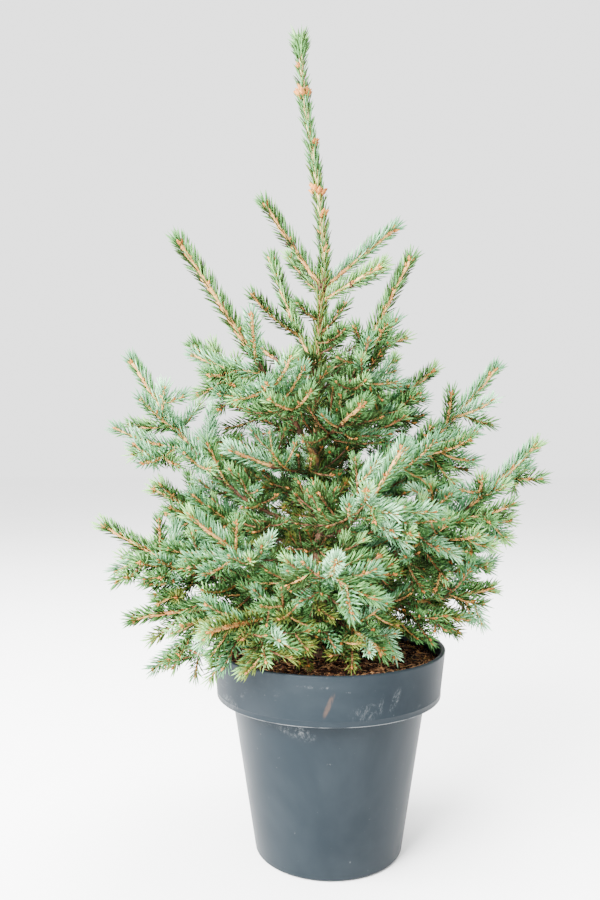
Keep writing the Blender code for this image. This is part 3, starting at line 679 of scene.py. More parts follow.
@dataclass
class Crown:
    """Every shoot of the tree, grown by the seeded rule of the solids and then finer."""

    clear: Clearance = field(default_factory=Clearance)
    on_trunk: TrunkTwigs = TrunkTwigs()
    look: LookRule = LookRule()
    seed: int = 1861
    sample: float = 0.005
    limb_steps: int = 60
    limb_every: int = 4
    side_from: float = 0.24
    side_from_least: float = 0.08
    side_to: float = 0.58
    side_radius: float = 0.0013
    sag_share: float = 0.06
    sleeve: float = 0.0012
    fine_parent: float = 0.036
    fine_from_stem: float = 0.06
    fine_from: float = 0.2
    fine_to: float = 0.6
    fine_to_rim: float = 0.78
    fine_own: float = 0.92
    bare_from: float = 0.12
    bare_steps: int = 40
    generations: int = 2
    shoots: list[Shoot] = field(default_factory=list)
    table: Array = field(default_factory=lambda: np.zeros((0, 3)))
    owner_ids: Array = field(default_factory=lambda: np.zeros(0, dtype=np.int64))
    ids: dict[str, int] = field(default_factory=dict)
    rng: random.Random = field(default_factory=lambda: random.Random(0))

    def claim(self, owner: str, line: Array) -> None:
        """Take the points of a line for a mass or limb.

        Args:
            owner: The name of the mass or limb.
            line: The points of the line.
        """
        number = self.ids.setdefault(owner, len(self.ids))
        self.table = np.concatenate((self.table, line))
        self.owner_ids = np.concatenate((self.owner_ids, np.full(len(line), number)))

    def room(self, mass: str, points: Array) -> Arrays:
        """Measure the room round points.

        Args:
            mass: The mass that the points belong to.
            points: Rows of points.

        Returns:
            The distance from each to the nearest point of other masses and of its own.
        """
        gaps = np.linalg.norm(self.table[None, :, :] - points[:, None, :], axis=2)
        own = self.owner_ids == self.ids.get(mass, -1)
        others = gaps[:, ~own].min(axis=1) if (~own).any() else np.ones(len(points))
        mine = gaps[:, own].min(axis=1) if own.any() else np.ones(len(points))
        return others, mine

    def fits(self, mass: str, line: Array, clear: float, clear_own: float) -> bool:
        """Whether a line stays clear of everything but the stem that it leaves.

        Args:
            mass: The mass that the line belongs to.
            line: The points of the line.
            clear: The room it needs from other masses and limbs.
            clear_own: The room it needs from its own mass.

        Returns:
            True where there is room.
        """
        away = line[np.linalg.norm(line - line[0], axis=1) >= self.clear.root]
        if not len(away):
            return True
        if not all(self.clear.free(point) for point in away):
            return False
        others, mine = self.room(mass, away)
        return bool(others.min() >= clear and mine.min() >= clear_own)

    def side_line(self, start: Array, way: Array, length: float) -> Array:
        """Lay the line of a side shoot, which sags a little between its root and its tip.

        Args:
            start: Its root.
            way: Its unit direction.
            length: Its length.

        Returns:
            Rows of points.
        """
        count = max(2, round(length / self.sample))
        shares = np.arange(count + 1)[:, None] / count
        sag = UP * (-self.sag_share * length)
        return start + way * (length * shares) + sag * (4 * shares * (1 - shares))

    def grow_side(self, parent: Shoot, side: SidePlan, clear: float, clear_own: float) -> Optional[Shoot]:
        """Grow a side shoot from a parent where there is room for it.

        Args:
            parent: The shoot that bears it.
            side: Its place, turn, lift and length.
            clear: The room it needs from other masses and limbs.
            clear_own: The room it needs from its own mass.

        Returns:
            The shoot, or None where there is no room.
        """
        start, way = parent.at(side.share)
        line = self.side_line(start, lifted_way(bearing_of(way) + side.turn, side.lift), side.length)
        if not self.fits(parent.mass, line, clear, clear_own):
            return None
        return self.take(Shoot(parent.mass, line, self.side_radius, parent.order + 1))

    def take(self, shoot: Shoot) -> Shoot:
        """Take a shoot into the crown and hand it back."""
        self.shoots.append(shoot)
        self.claim(shoot.mass, shoot.line)
        return shoot

    def grow_row(
        self,
        parent: Shoot,
        rule: SideRule,
        span: Pair,
        room_at: Callable[[Array], Pair],
    ) -> list[Shoot]:
        """Grow side shoots along a parent, left and right by turns.

        Args:
            parent: The shoot that bears them.
            rule: The rule that plans them.
            span: The shares of the parent at which they begin and end.
            room_at: Gives the room that a shoot needs at a point, from others and from its own mass.

        Returns:
            The shoots that found room.
        """
        length = parent.length()
        share, last = span
        hand = self.rng.choice((-1, 1))
        born = []
        while share < last:
            point, way = parent.at(share)
            shoot = self.grow_side(parent, rule.plan(self.rng, share, hand, way, length), *room_at(point))
            if shoot:
                born.append(shoot)
            share += rule.step / length * self.rng.uniform(*rule.step_off)
            hand = -hand
        return born

    def stems(self) -> dict[str, Shoot]:
        """Lay out the stems of all masses and claim the boughs that bear them."""
        stems = {}
        for name, plan in BOUGHS.items():
            first = plan.first_share()
            outside = plan.root_share()
            shares = [first * i / self.limb_steps for i in range(self.limb_steps)]
            limb = [plan.point(share) for share in shares if share > outside][:: self.limb_every]
            if limb:
                self.claim("bough_" + name, np.array(limb))
            count = max(4, round(plan.length() * (1 - first) / self.sample))
            stems[name] = self.take(Shoot(name, plan.points(first, 1.0, count), plan.radius(first), 0))
        return stems

    def sleeve_wall(self, height: float, bearing: float) -> float:
        """The distance from the trunk's axis to the middle of the four-sided sleeve that bears its needles.

        Args:
            height: The height on the trunk.
            bearing: The bearing from the trunk's axis.

        Returns:
            The distance.
        """
        bore = (TRUNK.radius(height) + 2 * GAP) * math.sqrt(2)
        off_flat = math.radians((bearing + 90) % 90 - 45)
        return (bore + 0.5 * self.sleeve) * math.sqrt(0.5) / math.cos(off_flat)

    def grow(self) -> None:
        """Grow the stems, the named side shoots and the ones that fill the crown."""
        stems = self.stems()
        for height, bearing, lift, length in INTERNODE_TWIGS:
            start = TRUNK.point(height) + level_way(bearing) * self.sleeve_wall(height, bearing)
            line = self.side_line(start, lifted_way(bearing, lift), length)
            self.take(Shoot("internode", line, self.side_radius, 1))
        for name, sides in SIDES.items():
            first = BOUGHS[name].first_share()
            for side in sides:
                share = (side.share - first) / (1 - first)
                if share > 0:
                    clear = self.clear.named
                    self.grow_side(stems[name], replace(side, share=share), clear, clear)
        self.rng = random.Random(self.seed)
        for name, stem in stems.items():
            first = max(self.side_from_least, self.side_from - BOUGHS[name].bare)
            span = (first, self.side_to * mass_age(name))
            self.grow_row(stem, SIDE_RULE, span, lambda _: (self.clear.other, self.clear.own))

    def grow_fine(self) -> None:
        """Carry the crown on to finer twigs in the gaps between the shoots."""
        self.rng = random.Random(self.seed + 1)
        parents = [shoot for shoot in self.shoots if mass_age(shoot.mass) > 0]
        for name, plan in BOUGHS.items():
            if plan.bare:
                whole = Shoot(name, plan.points(0.0, 1.0, self.bare_steps), plan.radius(0.0), 0)
                parents += self.fine_twigs(whole, (self.bare_from, plan.bare))
        parents += self.trunk_twigs()
        for _ in range(self.generations):
            born = []
            for parent in parents:
                first = self.fine_from if parent.order else self.fine_from_stem
                last = self.fine_to_rim if parent.mass in RIM_SIDE else self.fine_to
                born += self.fine_twigs(parent, (first, last * mass_age(parent.mass)))
            parents = born

    def fine_room(self, point: Array) -> Pair:
        """The room that a fine twig needs at a point, from others and from its own mass."""
        room = self.clear.fine(CROWN_SHAPE.depth(point))
        return room, self.fine_own * room

    def fine_twigs(self, parent: Shoot, span: Pair) -> list[Shoot]:
        """Grow the fine twigs of one parent, unless it is too short to bear any.

        Args:
            parent: The shoot that bears them.
            span: The shares of the parent at which they begin and end.

        Returns:
            The twigs that found room.
        """
        if parent.length() < self.fine_parent:
            return []
        rule = RIM_RULE if parent.mass in RIM_SIDE else FINE_RULE
        return self.grow_row(parent, rule, span, self.fine_room)

    def trunk_twigs(self) -> list[Shoot]:
        """Grow the small twigs that stand on the trunk and hand back those that found room."""
        rng, rule = self.rng, self.on_trunk
        born = []
        for i in range(round((rule.high - rule.low) / rule.step)):
            height = rule.low + rule.step * (i + rng.uniform(-rule.step_off, rule.step_off))
            bearing = i * GOLDEN_TURN
            start = TRUNK.point(height) + level_way(bearing) * (rule.root * TRUNK.radius(height))
            lift, length = rng.uniform(*rule.lifts), rng.uniform(*rule.lengths)
            if height < rule.long_below:
                lift, length = rule.long_lift * lift, length + rule.long_more
            line = self.side_line(start, lifted_way(bearing, lift), length)
            mass = nearest_mass(height, bearing)
            if self.fits(mass, line, self.clear.fine_inner, self.clear.fine_inner):
                born.append(self.take(Shoot(mass, line, self.side_radius, 1)))
        return born

    def deal_looks(self) -> None:
        """Give each shoot its look."""
        rng = random.Random(self.seed + 2)
        for shoot in self.shoots:
            self.look.deal(shoot, rng)


# How much further off a mass counts for each degree that its bearing is away
AWAY_PER_DEGREE = 0.0005


def nearest_mass(height: float, bearing: float) -> str:
    """The mass whose bough leaves the trunk nearest to a height and a bearing."""
    turns = {name: abs((plan.bearing - bearing + 180) % 360 - 180) for name, plan in BOUGHS.items()}
    return min(BOUGHS, key=lambda name: abs(BOUGHS[name].height - height) + AWAY_PER_DEGREE * turns[name])


TintShares = tuple[tuple[float, Tint], ...]


@dataclass(frozen=True)
class TintZones:
    """The zones of the crown, and for each the shares of its needle colours, which add up to 1."""

    top_from: float = 0.6
    heart_to: float = 0.45
    skirt_to: float = 0.29
    edge_from: float = 0.75
    top: TintShares = ((0.74, Tint.GREEN), (0.2, Tint.BLUE), (0.06, Tint.FRESH))
    heart: TintShares = ((0.5, Tint.DEEP), (0.2, Tint.OLIVE), (0.3, Tint.GREEN))
    skirt: TintShares = ((0.26, Tint.OLIVE), (0.52, Tint.GREEN), (0.16, Tint.BLUE), (0.06, Tint.PALE))
    middle: TintShares = ((0.5, Tint.GREEN), (0.28, Tint.BLUE), (0.18, Tint.DEEP), (0.04, Tint.PALE))
    edge: TintShares = ((0.47, Tint.GREEN), (0.45, Tint.BLUE), (0.08, Tint.PALE))

    def pick(self, chance: float, depth: float, height: float) -> Tint:
        """Pick the colour of a spray.

        Args:
            chance: A chance from 0 to 1.
            depth: From 0 at the trunk to about 1 at the crown's edge.
            height: The height above the floor.

        Returns:
            The colour.
        """
        if height > self.top_from:
            zone = self.top
        elif depth < self.heart_to:
            zone = self.heart
        elif height < self.skirt_to:
            zone = self.skirt
        else:
            zone = self.middle if depth < self.edge_from else self.edge
        for share, tint in zone:
            if chance < share:
                break
            chance -= share
        return tint


TINT_ZONES = TintZones()


def add_object(name: str, data: bpy.types.ID) -> bpy.types.Object:
    """Link a new object with its data to the scene and hand it back."""
    thing = bpy.data.objects.new(name, data)
    bpy.context.scene.collection.objects.link(thing)
    return thing


class MeshBatch:
    """Vertices and triangles of many small things, gathered into one mesh."""

    def __init__(self) -> None:
        """Start with nothing."""
        self.verts: list[Array] = []
        self.faces: list[Array] = []
        self.slots: list[Array] = []
        self.count = 0

    def add(self, verts: Array, faces: Array, slot: int = 0) -> None:
        """Take one more thing.

        Args:
            verts: Rows of points.
            faces: Rows of three vertex numbers, counted from this thing's first.
            slot: The material slot of all its faces.
        """
        self.verts.append(verts)
        self.faces.append(faces + self.count)
        self.slots.append(np.full(len(faces), slot, dtype=np.int32))
        self.count += len(verts)

    def build(self, name: str, materials: Sequence[bpy.types.Material]) -> bpy.types.Object:
        """Make the mesh and its object.

        Args:
            name: The object's name.
            materials: The materials, by slot.

        Returns:
            The object, linked to the scene.
        """
        verts = np.concatenate(self.verts).astype(np.float32)
        faces = np.concatenate(self.faces).astype(np.int32)
        mesh = bpy.data.meshes.new(name)
        mesh.vertices.add(len(verts))
        mesh.vertices.foreach_set("co", verts.ravel())
        mesh.loops.add(faces.size)
        mesh.loops.foreach_set("vertex_index", faces.ravel())
        mesh.polygons.add(len(faces))
        mesh.polygons.foreach_set("loop_start", np.arange(0, faces.size, 3, dtype=np.int32))
        for material in materials:
            mesh.materials.append(material)
        mesh.polygons.foreach_set("material_index", np.concatenate(self.slots))
        mesh.update(calc_edges=True)
        mesh.validate()
        mesh.shade_smooth()
        return add_object(name, mesh)


def tube(line: Array, radii: Array, sides: int) -> Arrays:
    """A closed tapering tube along a line.

    Args:
        line: Rows of points.
        radii: The radius at each point.
        sides: The number of sides.

    Returns:
        Rows of points and rows of triangles.
    """
    tangents = unit(np.gradient(line, axis=0))
    left, up = square_axes(tangents)
    angles = np.arange(sides) * (2 * math.pi / sides)
    rings = (
        line[:, None, :]
        + left[:, None, :] * (np.cos(angles)[None, :, None] * radii[:, None, None])
        + up[:, None, :] * (np.sin(angles)[None, :, None] * radii[:, None, None])
    )
    verts = np.concatenate((rings.reshape(-1, 3), line[:1], line[-1:]))
    faces = []
    after = (np.arange(sides) + 1) % sides
    for i in range(len(line) - 1):
        low = i * sides + np.arange(sides)
        low_next = i * sides + after
        faces.append(np.stack((low, low_next, low_next + sides), axis=1))
        faces.append(np.stack((low, low_next + sides, low + sides), axis=1))
    start, end = len(verts) - 2, len(verts) - 1
    top = (len(line) - 1) * sides
    faces.append(np.stack((after, np.arange(sides), np.full(sides, start)), axis=1))
    faces.append(np.stack((top + np.arange(sides), top + after, np.full(sides, end)), axis=1))
    return verts, np.concatenate(faces)


@dataclass
class NeedleForm:
    """One needle: three-sided, a little bowed, from its root over its stoutest part to its tip."""

    length: float = 0.013
    radius: float = 0.00055
    rings: tuple[Pair, ...] = ((0.0, 0.7), (0.66, 1.0))
    curve: float = 0.05

    def cast(
        self,
        roots: Array,
        ways: Array,
        inward: Array,
        lengths: Array,
        radii: Array,
    ) -> Arrays:
        """Make many needles at once.

        Args:
            roots: Rows of root points.
            ways: Rows of unit directions.
            inward: Rows of directions that the tips bend to.
            lengths: The length of each needle.
            radii: The radius of each needle.

        Returns:
            Rows of points and rows of triangles.
        """
        left, up = square_axes(ways)
        angles = np.array((math.pi / 2, math.pi * 7 / 6, math.pi * 11 / 6))
        spokes = (
            left[:, None, :] * np.cos(angles)[None, :, None]
            + up[:, None, :] * np.sin(angles)[None, :, None]
        )
        rows = []
        for share, width in self.rings:
            bow = inward * (lengths * self.curve * (4 * share - 3))[:, None]
            centre = roots + ways * (lengths * share)[:, None] + bow
            rows.append(centre[:, None, :] + spokes * (radii * width)[:, None, None])
        rows.append((roots + ways * lengths[:, None] + inward * (lengths * self.curve)[:, None])[:, None, :])
        verts = np.concatenate(rows, axis=1)
        pattern = self.pattern()
        faces = pattern[None, :, :] + (np.arange(len(roots)) * verts.shape[1])[:, None, None]
        return verts.reshape(-1, 3), faces.reshape(-1, 3)

    def pattern(self) -> Array:
        """The triangles of one needle, from the flat end at its root over its rings to its tip."""
        last = 3 * (len(self.rings) - 1)
        faces = [(0, 2, 1)]
        for i in range(3):
            j = (i + 1) % 3
            faces.append((last + 3, last + i, last + j))
            for low in range(0, last, 3):
                faces.append((low + i, low + j, low + 3 + j))
                faces.append((low + i, low + 3 + j, low + 3 + i))
        return np.array(faces)


@dataclass(frozen=True)
class NeedleStretch:
    """Needles on a stretch of the trunk: its heights, how many, their angle, length and colour."""

    low: float
    high: float
    per_metre: float
    spread: float
    length: float
    tint: Tint


@dataclass
class Foliage:
    """The needles of every shoot: long and close above, shorter below and parted at the sides.

    A name that ends in off is how far a value strays by chance.
    """

    needle: NeedleForm = field(default_factory=NeedleForm)
    per_metre: float = 1850.0
    fewest: int = 20
    place_off: float = 0.4
    main_crowding: float = 1.15
    span: Pair = (0.03, 0.965)
    golden: float = math.radians(GOLDEN_TURN)
    parting: float = math.radians(97)
    parting_width: float = math.radians(30)
    parted: float = 0.55
    parted_main: float = 0.86
    fewer_below: float = 0.42
    shorter_below: float = 0.3
    spread: float = 47.0
    spread_below: float = 40.0
    spread_off: float = 5
    tip_spread: float = 28.0
    tip_spread_off: float = 11
    tuft: float = 0.011
    tuft_from: float = 0.25
    lift: float = 0.28
    lift_less_at_tip: float = 0.7
    swell: Pair = (0.76, 0.28)
    swell_span: Pair = (0.12, 0.72)
    length_off: float = 0.07
    stout_off: float = 0.08
    sunk: float = 0.75
    trunk_step: float = 0.004
    trunk_spread_off: float = 7
    trunk_length_off: float = 0.09
    trunk_sunk: float = 0.85
    leader_stout: float = 1.5
    # Chances that a needle takes its spray's darker colour above and below, as painted shade, and its lighter
    # colour above, as painted highlight
    painted_shade_above: float = 0.2
    painted_shade_below: float = 0.6
    painted_highlight_above: float = 0.26
    seed: int = 77

    def __post_init__(self) -> None:
        """Start the seeded source of chance."""
        self.rng = np.random.default_rng(self.seed)

    def bare_share(self, turn: Array, parted: float) -> Array:
        """Find the share of needles that are missing.

        Args:
            turn: Angles from the upper side of a shoot.
            parted: The share that is missing where the needles part.

        Returns:
            The share at each angle.
        """
        aside = np.abs(turn)
        beside = parted * np.exp(-(((aside - self.parting) / self.parting_width) ** 2))
        below = self.fewer_below * np.clip((aside - self.parting) / self.parting_width, 0, 1)
        return np.maximum(beside, below)

    def tones(self, below: Array, at_tip: Array) -> Array:
        """Which of a spray's colours each needle takes.

        Args:
            below: From 0 on the upper side of the shoot to 1 on its lower side.
            at_tip: Whether the needle is in the tip's tuft.

        Returns:
            Numbers: 0 for the spray's own colour, 1 its darker colour as painted shade, 2 its lighter colour
                as painted highlight, 3 the tuft's.
        """
        chance = self.rng.random(len(below))
        # Painted shade falls more often on the lower side, and painted highlight only on the upper side
        lower = below > 0.5
        darker = chance < np.where(lower, self.painted_shade_below, self.painted_shade_above)
        lighter = ~lower & (chance > 1 - self.painted_highlight_above)
        return np.where(at_tip, 3, np.where(darker, 1, np.where(lighter, 2, 0)))

    def shoot_needles(self, shoot: Shoot) -> list[tuple[Array, Array, Tint]]:
        """Make the needles of one shoot.

        Args:
            shoot: The shoot that bears them.

        Returns:
            Points, triangles and the colour, for each colour of the spray.
        """
        rng = self.rng
        length = shoot.length()
        count = max(self.fewest, int(length * self.per_metre * shoot.fullness))
        places = np.arange(count) + rng.uniform(-self.place_off, self.place_off, count)
        shares = np.clip(places / count, 0, 1)
        if shoot.order == 0:
            shares = 1 - (1 - shares) ** self.main_crowding
        shares = self.span[0] + self.span[1] * shares
        centres, tangents = points_along(shoot.line, shares)
        left, up = square_axes(tangents)
        turn = (np.arange(count) * self.golden + rng.uniform(0, math.tau)) % math.tau - math.pi
        below = np.abs(turn) / math.pi
        radial = up * np.cos(turn)[:, None] + left * np.sin(turn)[:, None]
        tuft = np.clip(1 - (1 - shares) * length / self.tuft, 0, 1)
        parted = self.parted if shoot.order else self.parted_main
        kept = rng.random(count) > self.bare_share(turn, parted) * (1 - tuft)
        spread = self.spread + (self.spread_below - self.spread) * below**2
        spread = spread + rng.normal(0, self.spread_off, count)
        at_tip = self.tip_spread + rng.normal(0, self.tip_spread_off, count)
        angle = np.radians(spread * (1 - tuft) + at_tip * tuft)
        ways = tangents * np.cos(angle)[:, None] + radial * np.sin(angle)[:, None]
        lift = self.lift * (1 - below) * (1 - self.lift_less_at_tip * tuft)
        ways = unit(ways + UP * lift[:, None])
        arch = np.clip(self.swell_span[0] + self.swell_span[1] * shares, 0, 1)
        swell = self.swell[0] + self.swell[1] * np.sin(math.pi * arch)
        swell = swell * (1 - self.shorter_below * below**2 * (1 - tuft))
        lengths = self.needle.length * shoot.vigour * swell * rng.normal(1.0, self.length_off, count)
        roots = centres + radial * (self.sunk * shoot.radii(shares))[:, None]
        radii = self.needle.radius * shoot.stout * rng.normal(1.0, self.stout_off, count)
        # Each needle's colour: its spray's own, painted shade, painted highlight or the tuft's
        tone = self.tones(below, tuft > self.tuft_from)
        parts = []
        for number, tint in enumerate((shoot.tint, *PAINTED_SHADE_HIGHLIGHT[shoot.tint], shoot.tip_tint)):
            rows = kept & (tone == number)
            if rows.any():
                cast = self.needle.cast(roots[rows], ways[rows], tangents[rows], lengths[rows], radii[rows])
                parts.append((*cast, tint))
        return parts

    def trunk_needles(self, stretch: NeedleStretch) -> Arrays:
        """Make the needles that stand on a stretch of the trunk.

        Args:
            stretch: The stretch.

        Returns:
            Rows of points and rows of triangles.
        """
        rng = self.rng
        low, tall, step = stretch.low, stretch.high - stretch.low, self.trunk_step
        count = int(tall * stretch.per_metre)
        heights = low + tall * (np.arange(count) + rng.uniform(0, 1, count)) / count
        centres = np.array([TRUNK.point(h) for h in heights])
        tangents = unit(np.array([TRUNK.point(h + step) - TRUNK.point(h - step) for h in heights]))
        left, up = square_axes(tangents)
        turn = np.arange(count) * self.golden
        radial = left * np.cos(turn)[:, None] + up * np.sin(turn)[:, None]
        angle = np.radians(stretch.spread + rng.normal(0, self.trunk_spread_off, count))
        ways = unit(tangents * np.cos(angle)[:, None] + radial * np.sin(angle)[:, None])
        lengths = stretch.length * rng.normal(1.0, self.trunk_length_off, count)
        roots = centres + radial * np.array([self.trunk_sunk * TRUNK.radius(h) for h in heights])[:, None]
        radii = self.needle.radius * self.leader_stout * rng.normal(1.0, self.stout_off, count)
        return self.needle.cast(roots, ways, tangents, lengths, radii)


@dataclass(frozen=True)
class Grain:
    """A noise pattern: its scale, detail, roughness and distortion."""

    scale: float
    detail: float = 4.0
    rough: float = 0.55
    distortion: float = 0.0


class NodeBoard:
    """A node tree under construction, with short ways to add and join nodes."""

    def __init__(self, name: str) -> None:
        """Start a material with one Principled BSDF."""
        self.material = bpy.data.materials.new(name)
        self.material.use_nodes = True
        self.tree = self.material.node_tree
        self.shader = self.tree.nodes["Principled BSDF"]
        self.coords = self.tree.nodes.new("ShaderNodeTexCoord").outputs["Object"]

    def give(self, node: bpy.types.Node, key: int | str, value: object) -> None:
        """Set an input of a node, or link it to a socket.

        Args:
            node: The node.
            key: The input's number or name.
            value: Its value or the socket.
        """
        if isinstance(value, Socket):
            self.tree.links.new(value, node.inputs[key])
        else:
            node.inputs[key].default_value = value

    def add(self, kind: str, *inputs: object, **values: object) -> bpy.types.Node:
        """Add a node.

        Args:
            kind: Its type.
            inputs: What its first inputs get.
            values: What its properties and other inputs get, with _ for the spaces in a name.

        Returns:
            The node.
        """
        node = self.tree.nodes.new(kind)
        for key, value in values.items():
            if hasattr(node, key):
                setattr(node, key, value)
            else:
                self.give(node, key.replace("_", " "), value)
        for key, value in enumerate(inputs):
            self.give(node, key, value)
        return node

    def dress(self, colour: Socket | tuple, roughness: Socket | float, specular: float) -> None:
        """Give the shader its colour, its roughness and its specular level."""
        names = ("Base Color", "Roughness", "Specular IOR Level")
        for key, value in zip(names, (colour, roughness, specular)):
            self.give(self.shader, key, value)

    def place(self, scale: Triple = (1, 1, 1), **values: object) -> Socket:
        """Map object coordinates, stretched and with more values of the mapping."""
        return self.add("ShaderNodeMapping", self.coords, Scale=scale, **values).outputs["Vector"]

    def clouds(self, vector: Socket, grain: Grain) -> Socket:
        """Add a noise pattern over coordinates."""
        values = {"Scale": grain.scale, "Detail": grain.detail, "Roughness": grain.rough}
        return self.add("ShaderNodeTexNoise", vector, Distortion=grain.distortion, **values).outputs["Fac"]

    def ramp(self, value: Socket, places: Sequence[float], colours: Sequence[Triple]) -> Socket:
        """Turn a value into colours.

        Args:
            value: The value.
            places: The values at which the colours are reached.
            colours: The colour at each place.

        Returns:
            The colour.
        """
        node = self.add("ShaderNodeValToRGB", value)
        elements = node.color_ramp.elements
        while len(elements) < len(places):
            elements.new(0.5)
        for element, place, colour in zip(elements, places, colours):
            element.position = place
            element.color = (*colour, 1.0)
        return node.outputs["Color"]

    def window(self, value: Socket, low: float, high: float, top: float = 1.0, bottom: float = 0.0) -> Socket:
        """Stretch a value so that low becomes bottom and high becomes top, held within."""
        node = self.add("ShaderNodeMapRange", value, low, high, bottom, top, interpolation_type="SMOOTHSTEP")
        return node.outputs["Result"]

    def math(self, what: str, first: Socket, second: Socket | float) -> Socket:
        """Combine a value with another value or a number."""
        return self.add("ShaderNodeMath", first, second, operation=what).outputs["Value"]

    def times(self, first: Socket, second: Socket | float) -> Socket:
        """Multiply a value by another value or a number."""
        return self.math("MULTIPLY", first, second)

    def plus(self, first: Socket, second: Socket | float) -> Socket:
        """Add another value or a number to a value."""
        return self.math("ADD", first, second)

    def mix(self, factor: Socket, first: Socket | Triple, second: Triple) -> Socket:
        """Mix two colours.

        Args:
            factor: The share of the second.
            first: The first colour.
            second: The second colour.

        Returns:
            The mixed colour.
        """
        node = self.add("ShaderNodeMix", factor, data_type="RGBA")
        for key, value in ((6, first), (7, second)):
            self.give(node, key, (*value, 1.0) if isinstance(value, tuple) else value)
        return node.outputs[2]

    def bump(self, height: Socket, strength: float, distance: float) -> None:
        """Give the shader a bump from a height pattern."""
        node = self.add("ShaderNodeBump", Height=height, Strength=strength, Distance=distance)
        self.give(self.shader, "Normal", node.outputs["Normal"])


@dataclass(frozen=True)
class NeedleFinish:
    """Waxy needles of one plain colour; here and below, shine is roughness and specular level."""

    tint: Tint
    colour: Triple
    shine: Pair = (0.6, 0.12)

    def material(self) -> bpy.types.Material:
        """Make the material."""
        board = NodeBoard(self.tint.value)
        board.dress((*self.colour, 1.0), *self.shine)
        return board.material


NEEDLE_FINISHES = (
    NeedleFinish(Tint.DEEP, (0.02, 0.043, 0.008)),
    NeedleFinish(Tint.GREEN, (0.066, 0.174, 0.048)),
    NeedleFinish(Tint.BLUE, (0.084, 0.232, 0.104)),
    NeedleFinish(Tint.PALE, (0.255, 0.52, 0.285)),
    NeedleFinish(Tint.OLIVE, (0.102, 0.136, 0.022)),
    NeedleFinish(Tint.FRESH, (0.175, 0.36, 0.105)),
)


@dataclass(frozen=True)
class BarkFinish:
    """Bark with lighter flakes over darker cracks: two patterns, the flakes' and a broader one."""

    name: str
    colours: tuple[Triple, ...]
    grain: float = 260.0
    stretch: float = 0.35
    strength: float = 0.5
    broader: float = 0.12
    shares: Pair = (0.7, 0.3)
    stops: Triple = (0.34, 0.5, 0.66)
    bump_distance: float = 0.0006
    shine: Pair = (0.8, 0.3)

    def material(self) -> bpy.types.Material:
        """Make the material."""
        board = NodeBoard(self.name)
        flakes = board.clouds(board.place((1, 1, self.stretch)), Grain(self.grain, 6, 0.65))
        broad = board.clouds(board.place(), Grain(self.grain * self.broader, 3))
        blend = board.plus(board.times(flakes, self.shares[0]), board.times(broad, self.shares[1]))
        board.dress(board.ramp(blend, self.stops, self.colours), *self.shine)
        board.bump(flakes, self.strength, self.bump_distance)
        return board.material


@dataclass(frozen=True)
class PlainTwigFinish:
    """Bark of fine twigs, light and shaded by turns, with a fine grain."""

    name: str
    colour: Triple
    shade: Triple
    grain: Grain = Grain(420.0, 3)
    stretches: Grain = Grain(75.0, 2)
    stops: Pair = (0.42, 0.56)
    bump: Pair = (0.35, 0.0003)
    shine: Pair = (0.7, 0.3)

    def material(self) -> bpy.types.Material:
        """Make the material."""
        board = NodeBoard(self.name)
        grain = board.clouds(board.place(), self.grain)
        broad = board.clouds(board.place(), self.stretches)
        blend = board.plus(board.times(grain, 0.5), board.times(broad, 0.5))
        board.dress(board.ramp(blend, self.stops, (self.shade, self.colour)), *self.shine)
        board.bump(grain, *self.bump)
        return board.material


@dataclass(frozen=True)
class Mark:
    """A mark on the pot: its middle, its half sizes, its tilt in degrees and its strength."""

    at: Triple
    half: Triple
    tilt: float
    strength: float


# Pale scuffing marks: one left of the band's foot, three right of it, two below the band, one under the rim
# and one at the back
POT_SCUFFS = (
    Mark((-0.106, -0.07, 0.18), (0.014, 0.04, 0.01), 20, 0.66),
    Mark((0.033, -0.123, 0.187), (0.022, 0.04, 0.011), -12, 0.3),
    Mark((0.062, -0.11, 0.196), (0.005, 0.04, 0.016), 25, 0.48),
    Mark((0.048, -0.117, 0.194), (0.003, 0.04, 0.013), 8, 0.34),
    Mark((-0.036, -0.099, 0.16), (0.028, 0.04, 0.009), 12, 0.34),
    Mark((-0.03, -0.099, 0.164), (0.009, 0.04, 0.004), 12, 0.8),
    Mark((-0.018, -0.125, 0.214), (0.024, 0.04, 0.002), 2, 0.36),
    Mark((0.085, 0.095, 0.19), (0.024, 0.04, 0.012), 15, 0.42),
)
# The smear of earth on the band
EARTH_SMEAR = Mark((-0.004, -0.127, 0.196), (0.0034, 0.04, 0.017), 22, 0.27)
# The heights of the foot and of the top of the pot's band
BAND_FOOT = 0.173
BAND_TOP = 0.222


